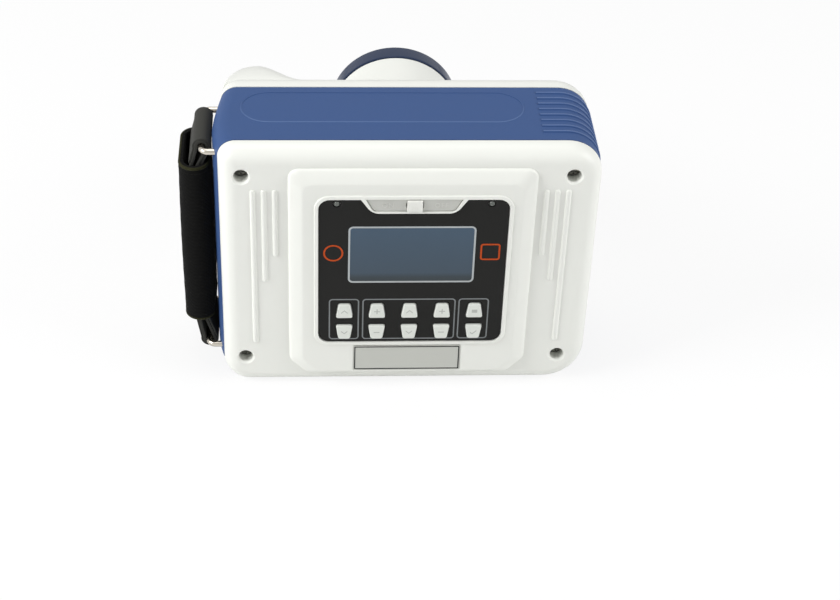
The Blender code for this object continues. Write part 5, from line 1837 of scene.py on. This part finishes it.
# ---------------------------------------------------------------- stage

@dataclass
class Studio:
    """Floor, lamps and the camera at the photograph's angle."""

    eye: Point = (-48.958 * MM, -717.2 * MM, 572.98 * MM)
    yaw: float = -0.080
    pitch: float = 0.6498
    roll: float = 0.043
    lens: float = 78.53
    floor_glow: float = 0.84
    world_light: float = 0.30

    def build(self) -> None:
        """Build the floor, the world, the lamps and the camera."""
        self.floor()
        self.world()
        self.lamp("left lamp", (-1.05, -0.34, 0.75), 0.6, 13.5)
        self.lamp("right lamp", (1.0, -0.30, 0.60), 0.6, 7.5)
        self.lamp("top lamp", (-0.10, 0.15, 1.30), 0.7, 3.5)
        self.camera()

    def floor(self) -> None:
        """Lay the plain pale floor."""
        clear_selection()
        bpy.ops.mesh.primitive_plane_add(size=6.0, location=(0, 1.0, 0))
        plane = bpy.context.object
        plane.name = "floor"
        made = bpy.data.materials.new("floor")
        made.use_nodes = True
        tree = made.node_tree
        shader = tree.nodes["Principled BSDF"]
        set_inputs(shader, Base_Color=(0.9, 0.9, 0.9, 1.0), Roughness=0.9, Specular_IOR_Level=0.1)
        glow, path, mix = (add_node(tree, kind) for kind in ("Emission", "LightPath", "MixShader"))
        share = add_node(tree, "Math", "MULTIPLY")
        share.inputs[1].default_value = self.floor_glow
        connect(tree, (path, "Is Camera Ray", share, 0), (share, 0, mix, 0), (shader, 0, mix, 1), (glow, 0, mix, 2),
                (mix, 0, tree.nodes["Material Output"], "Surface"))
        plane.data.materials.append(made)

    def world(self) -> None:
        """Set a white world that lights the object evenly."""
        made = bpy.data.worlds.new("studio")
        made.use_nodes = True
        bpy.context.scene.world = made
        tree = made.node_tree
        soft = tree.nodes["Background"]
        set_inputs(soft, Color=(1.0, 1.0, 1.0, 1.0), Strength=self.world_light)
        white = add_node(tree, "Background", Strength=1.0)
        path, mix = add_node(tree, "LightPath"), add_node(tree, "MixShader")
        either = add_node(tree, "Math", "MAXIMUM")
        connect(tree, (path, "Is Camera Ray", either, 0), (path, "Is Glossy Ray", either, 1), (either, 0, mix, 0),
                (soft, 0, mix, 1), (white, 0, mix, 2), (mix, 0, tree.nodes["World Output"], "Surface"))

    def lamp(self, name: str, place: Point, size: float, power: float) -> None:
        """Hang one square soft lamp that faces the object.

        Args:
            name: Name of the lamp.
            place: Where it hangs.
            size: Its width.
            power: Its power in watts.
        """
        clear_selection()
        bpy.ops.object.light_add(type="AREA", location=place)
        made = bpy.context.object
        made.name = name
        made.data.shape = "SQUARE"
        made.data.size = size
        made.data.energy = power
        aim = Vector((0, 0, 0.07)) - Vector(place)
        made.rotation_euler = aim.to_track_quat("-Z", "Y").to_euler()

    def camera(self) -> None:
        """Set the camera where the photograph was taken from."""
        ahead = Vector((-math.sin(self.yaw), math.cos(self.yaw), 0.0))
        right = Vector((math.cos(self.yaw), math.sin(self.yaw), 0.0))
        up = Vector((0.0, 0.0, 1.0))
        look = ahead * math.cos(self.pitch) - up * math.sin(self.pitch)
        lift = up * math.cos(self.pitch) + ahead * math.sin(self.pitch)
        across = right * math.cos(self.roll) + lift * math.sin(self.roll)
        upward = lift * math.cos(self.roll) - right * math.sin(self.roll)
        clear_selection()
        bpy.ops.object.camera_add(location=self.eye)
        made = bpy.context.object
        made.name = "camera"
        turn = Matrix((across, upward, -look)).transposed()
        made.rotation_euler = turn.to_euler()
        made.data.lens = self.lens
        made.data.sensor_width = 36.0
        made.data.clip_start = 0.01
        bpy.context.scene.camera = made


def main() -> None:
    """Build and dress the unit, then set the stage."""
    logging.basicConfig(level=logging.INFO, format="%(message)s")
    bpy.context.scene.view_settings.view_transform = "Standard"
    Housing().build()
    ControlPanel().build()
    AimingCone().build()
    HandStrap().build()
    Fittings().build()
    Studio().build()


if __name__ == "__main__":
    main()
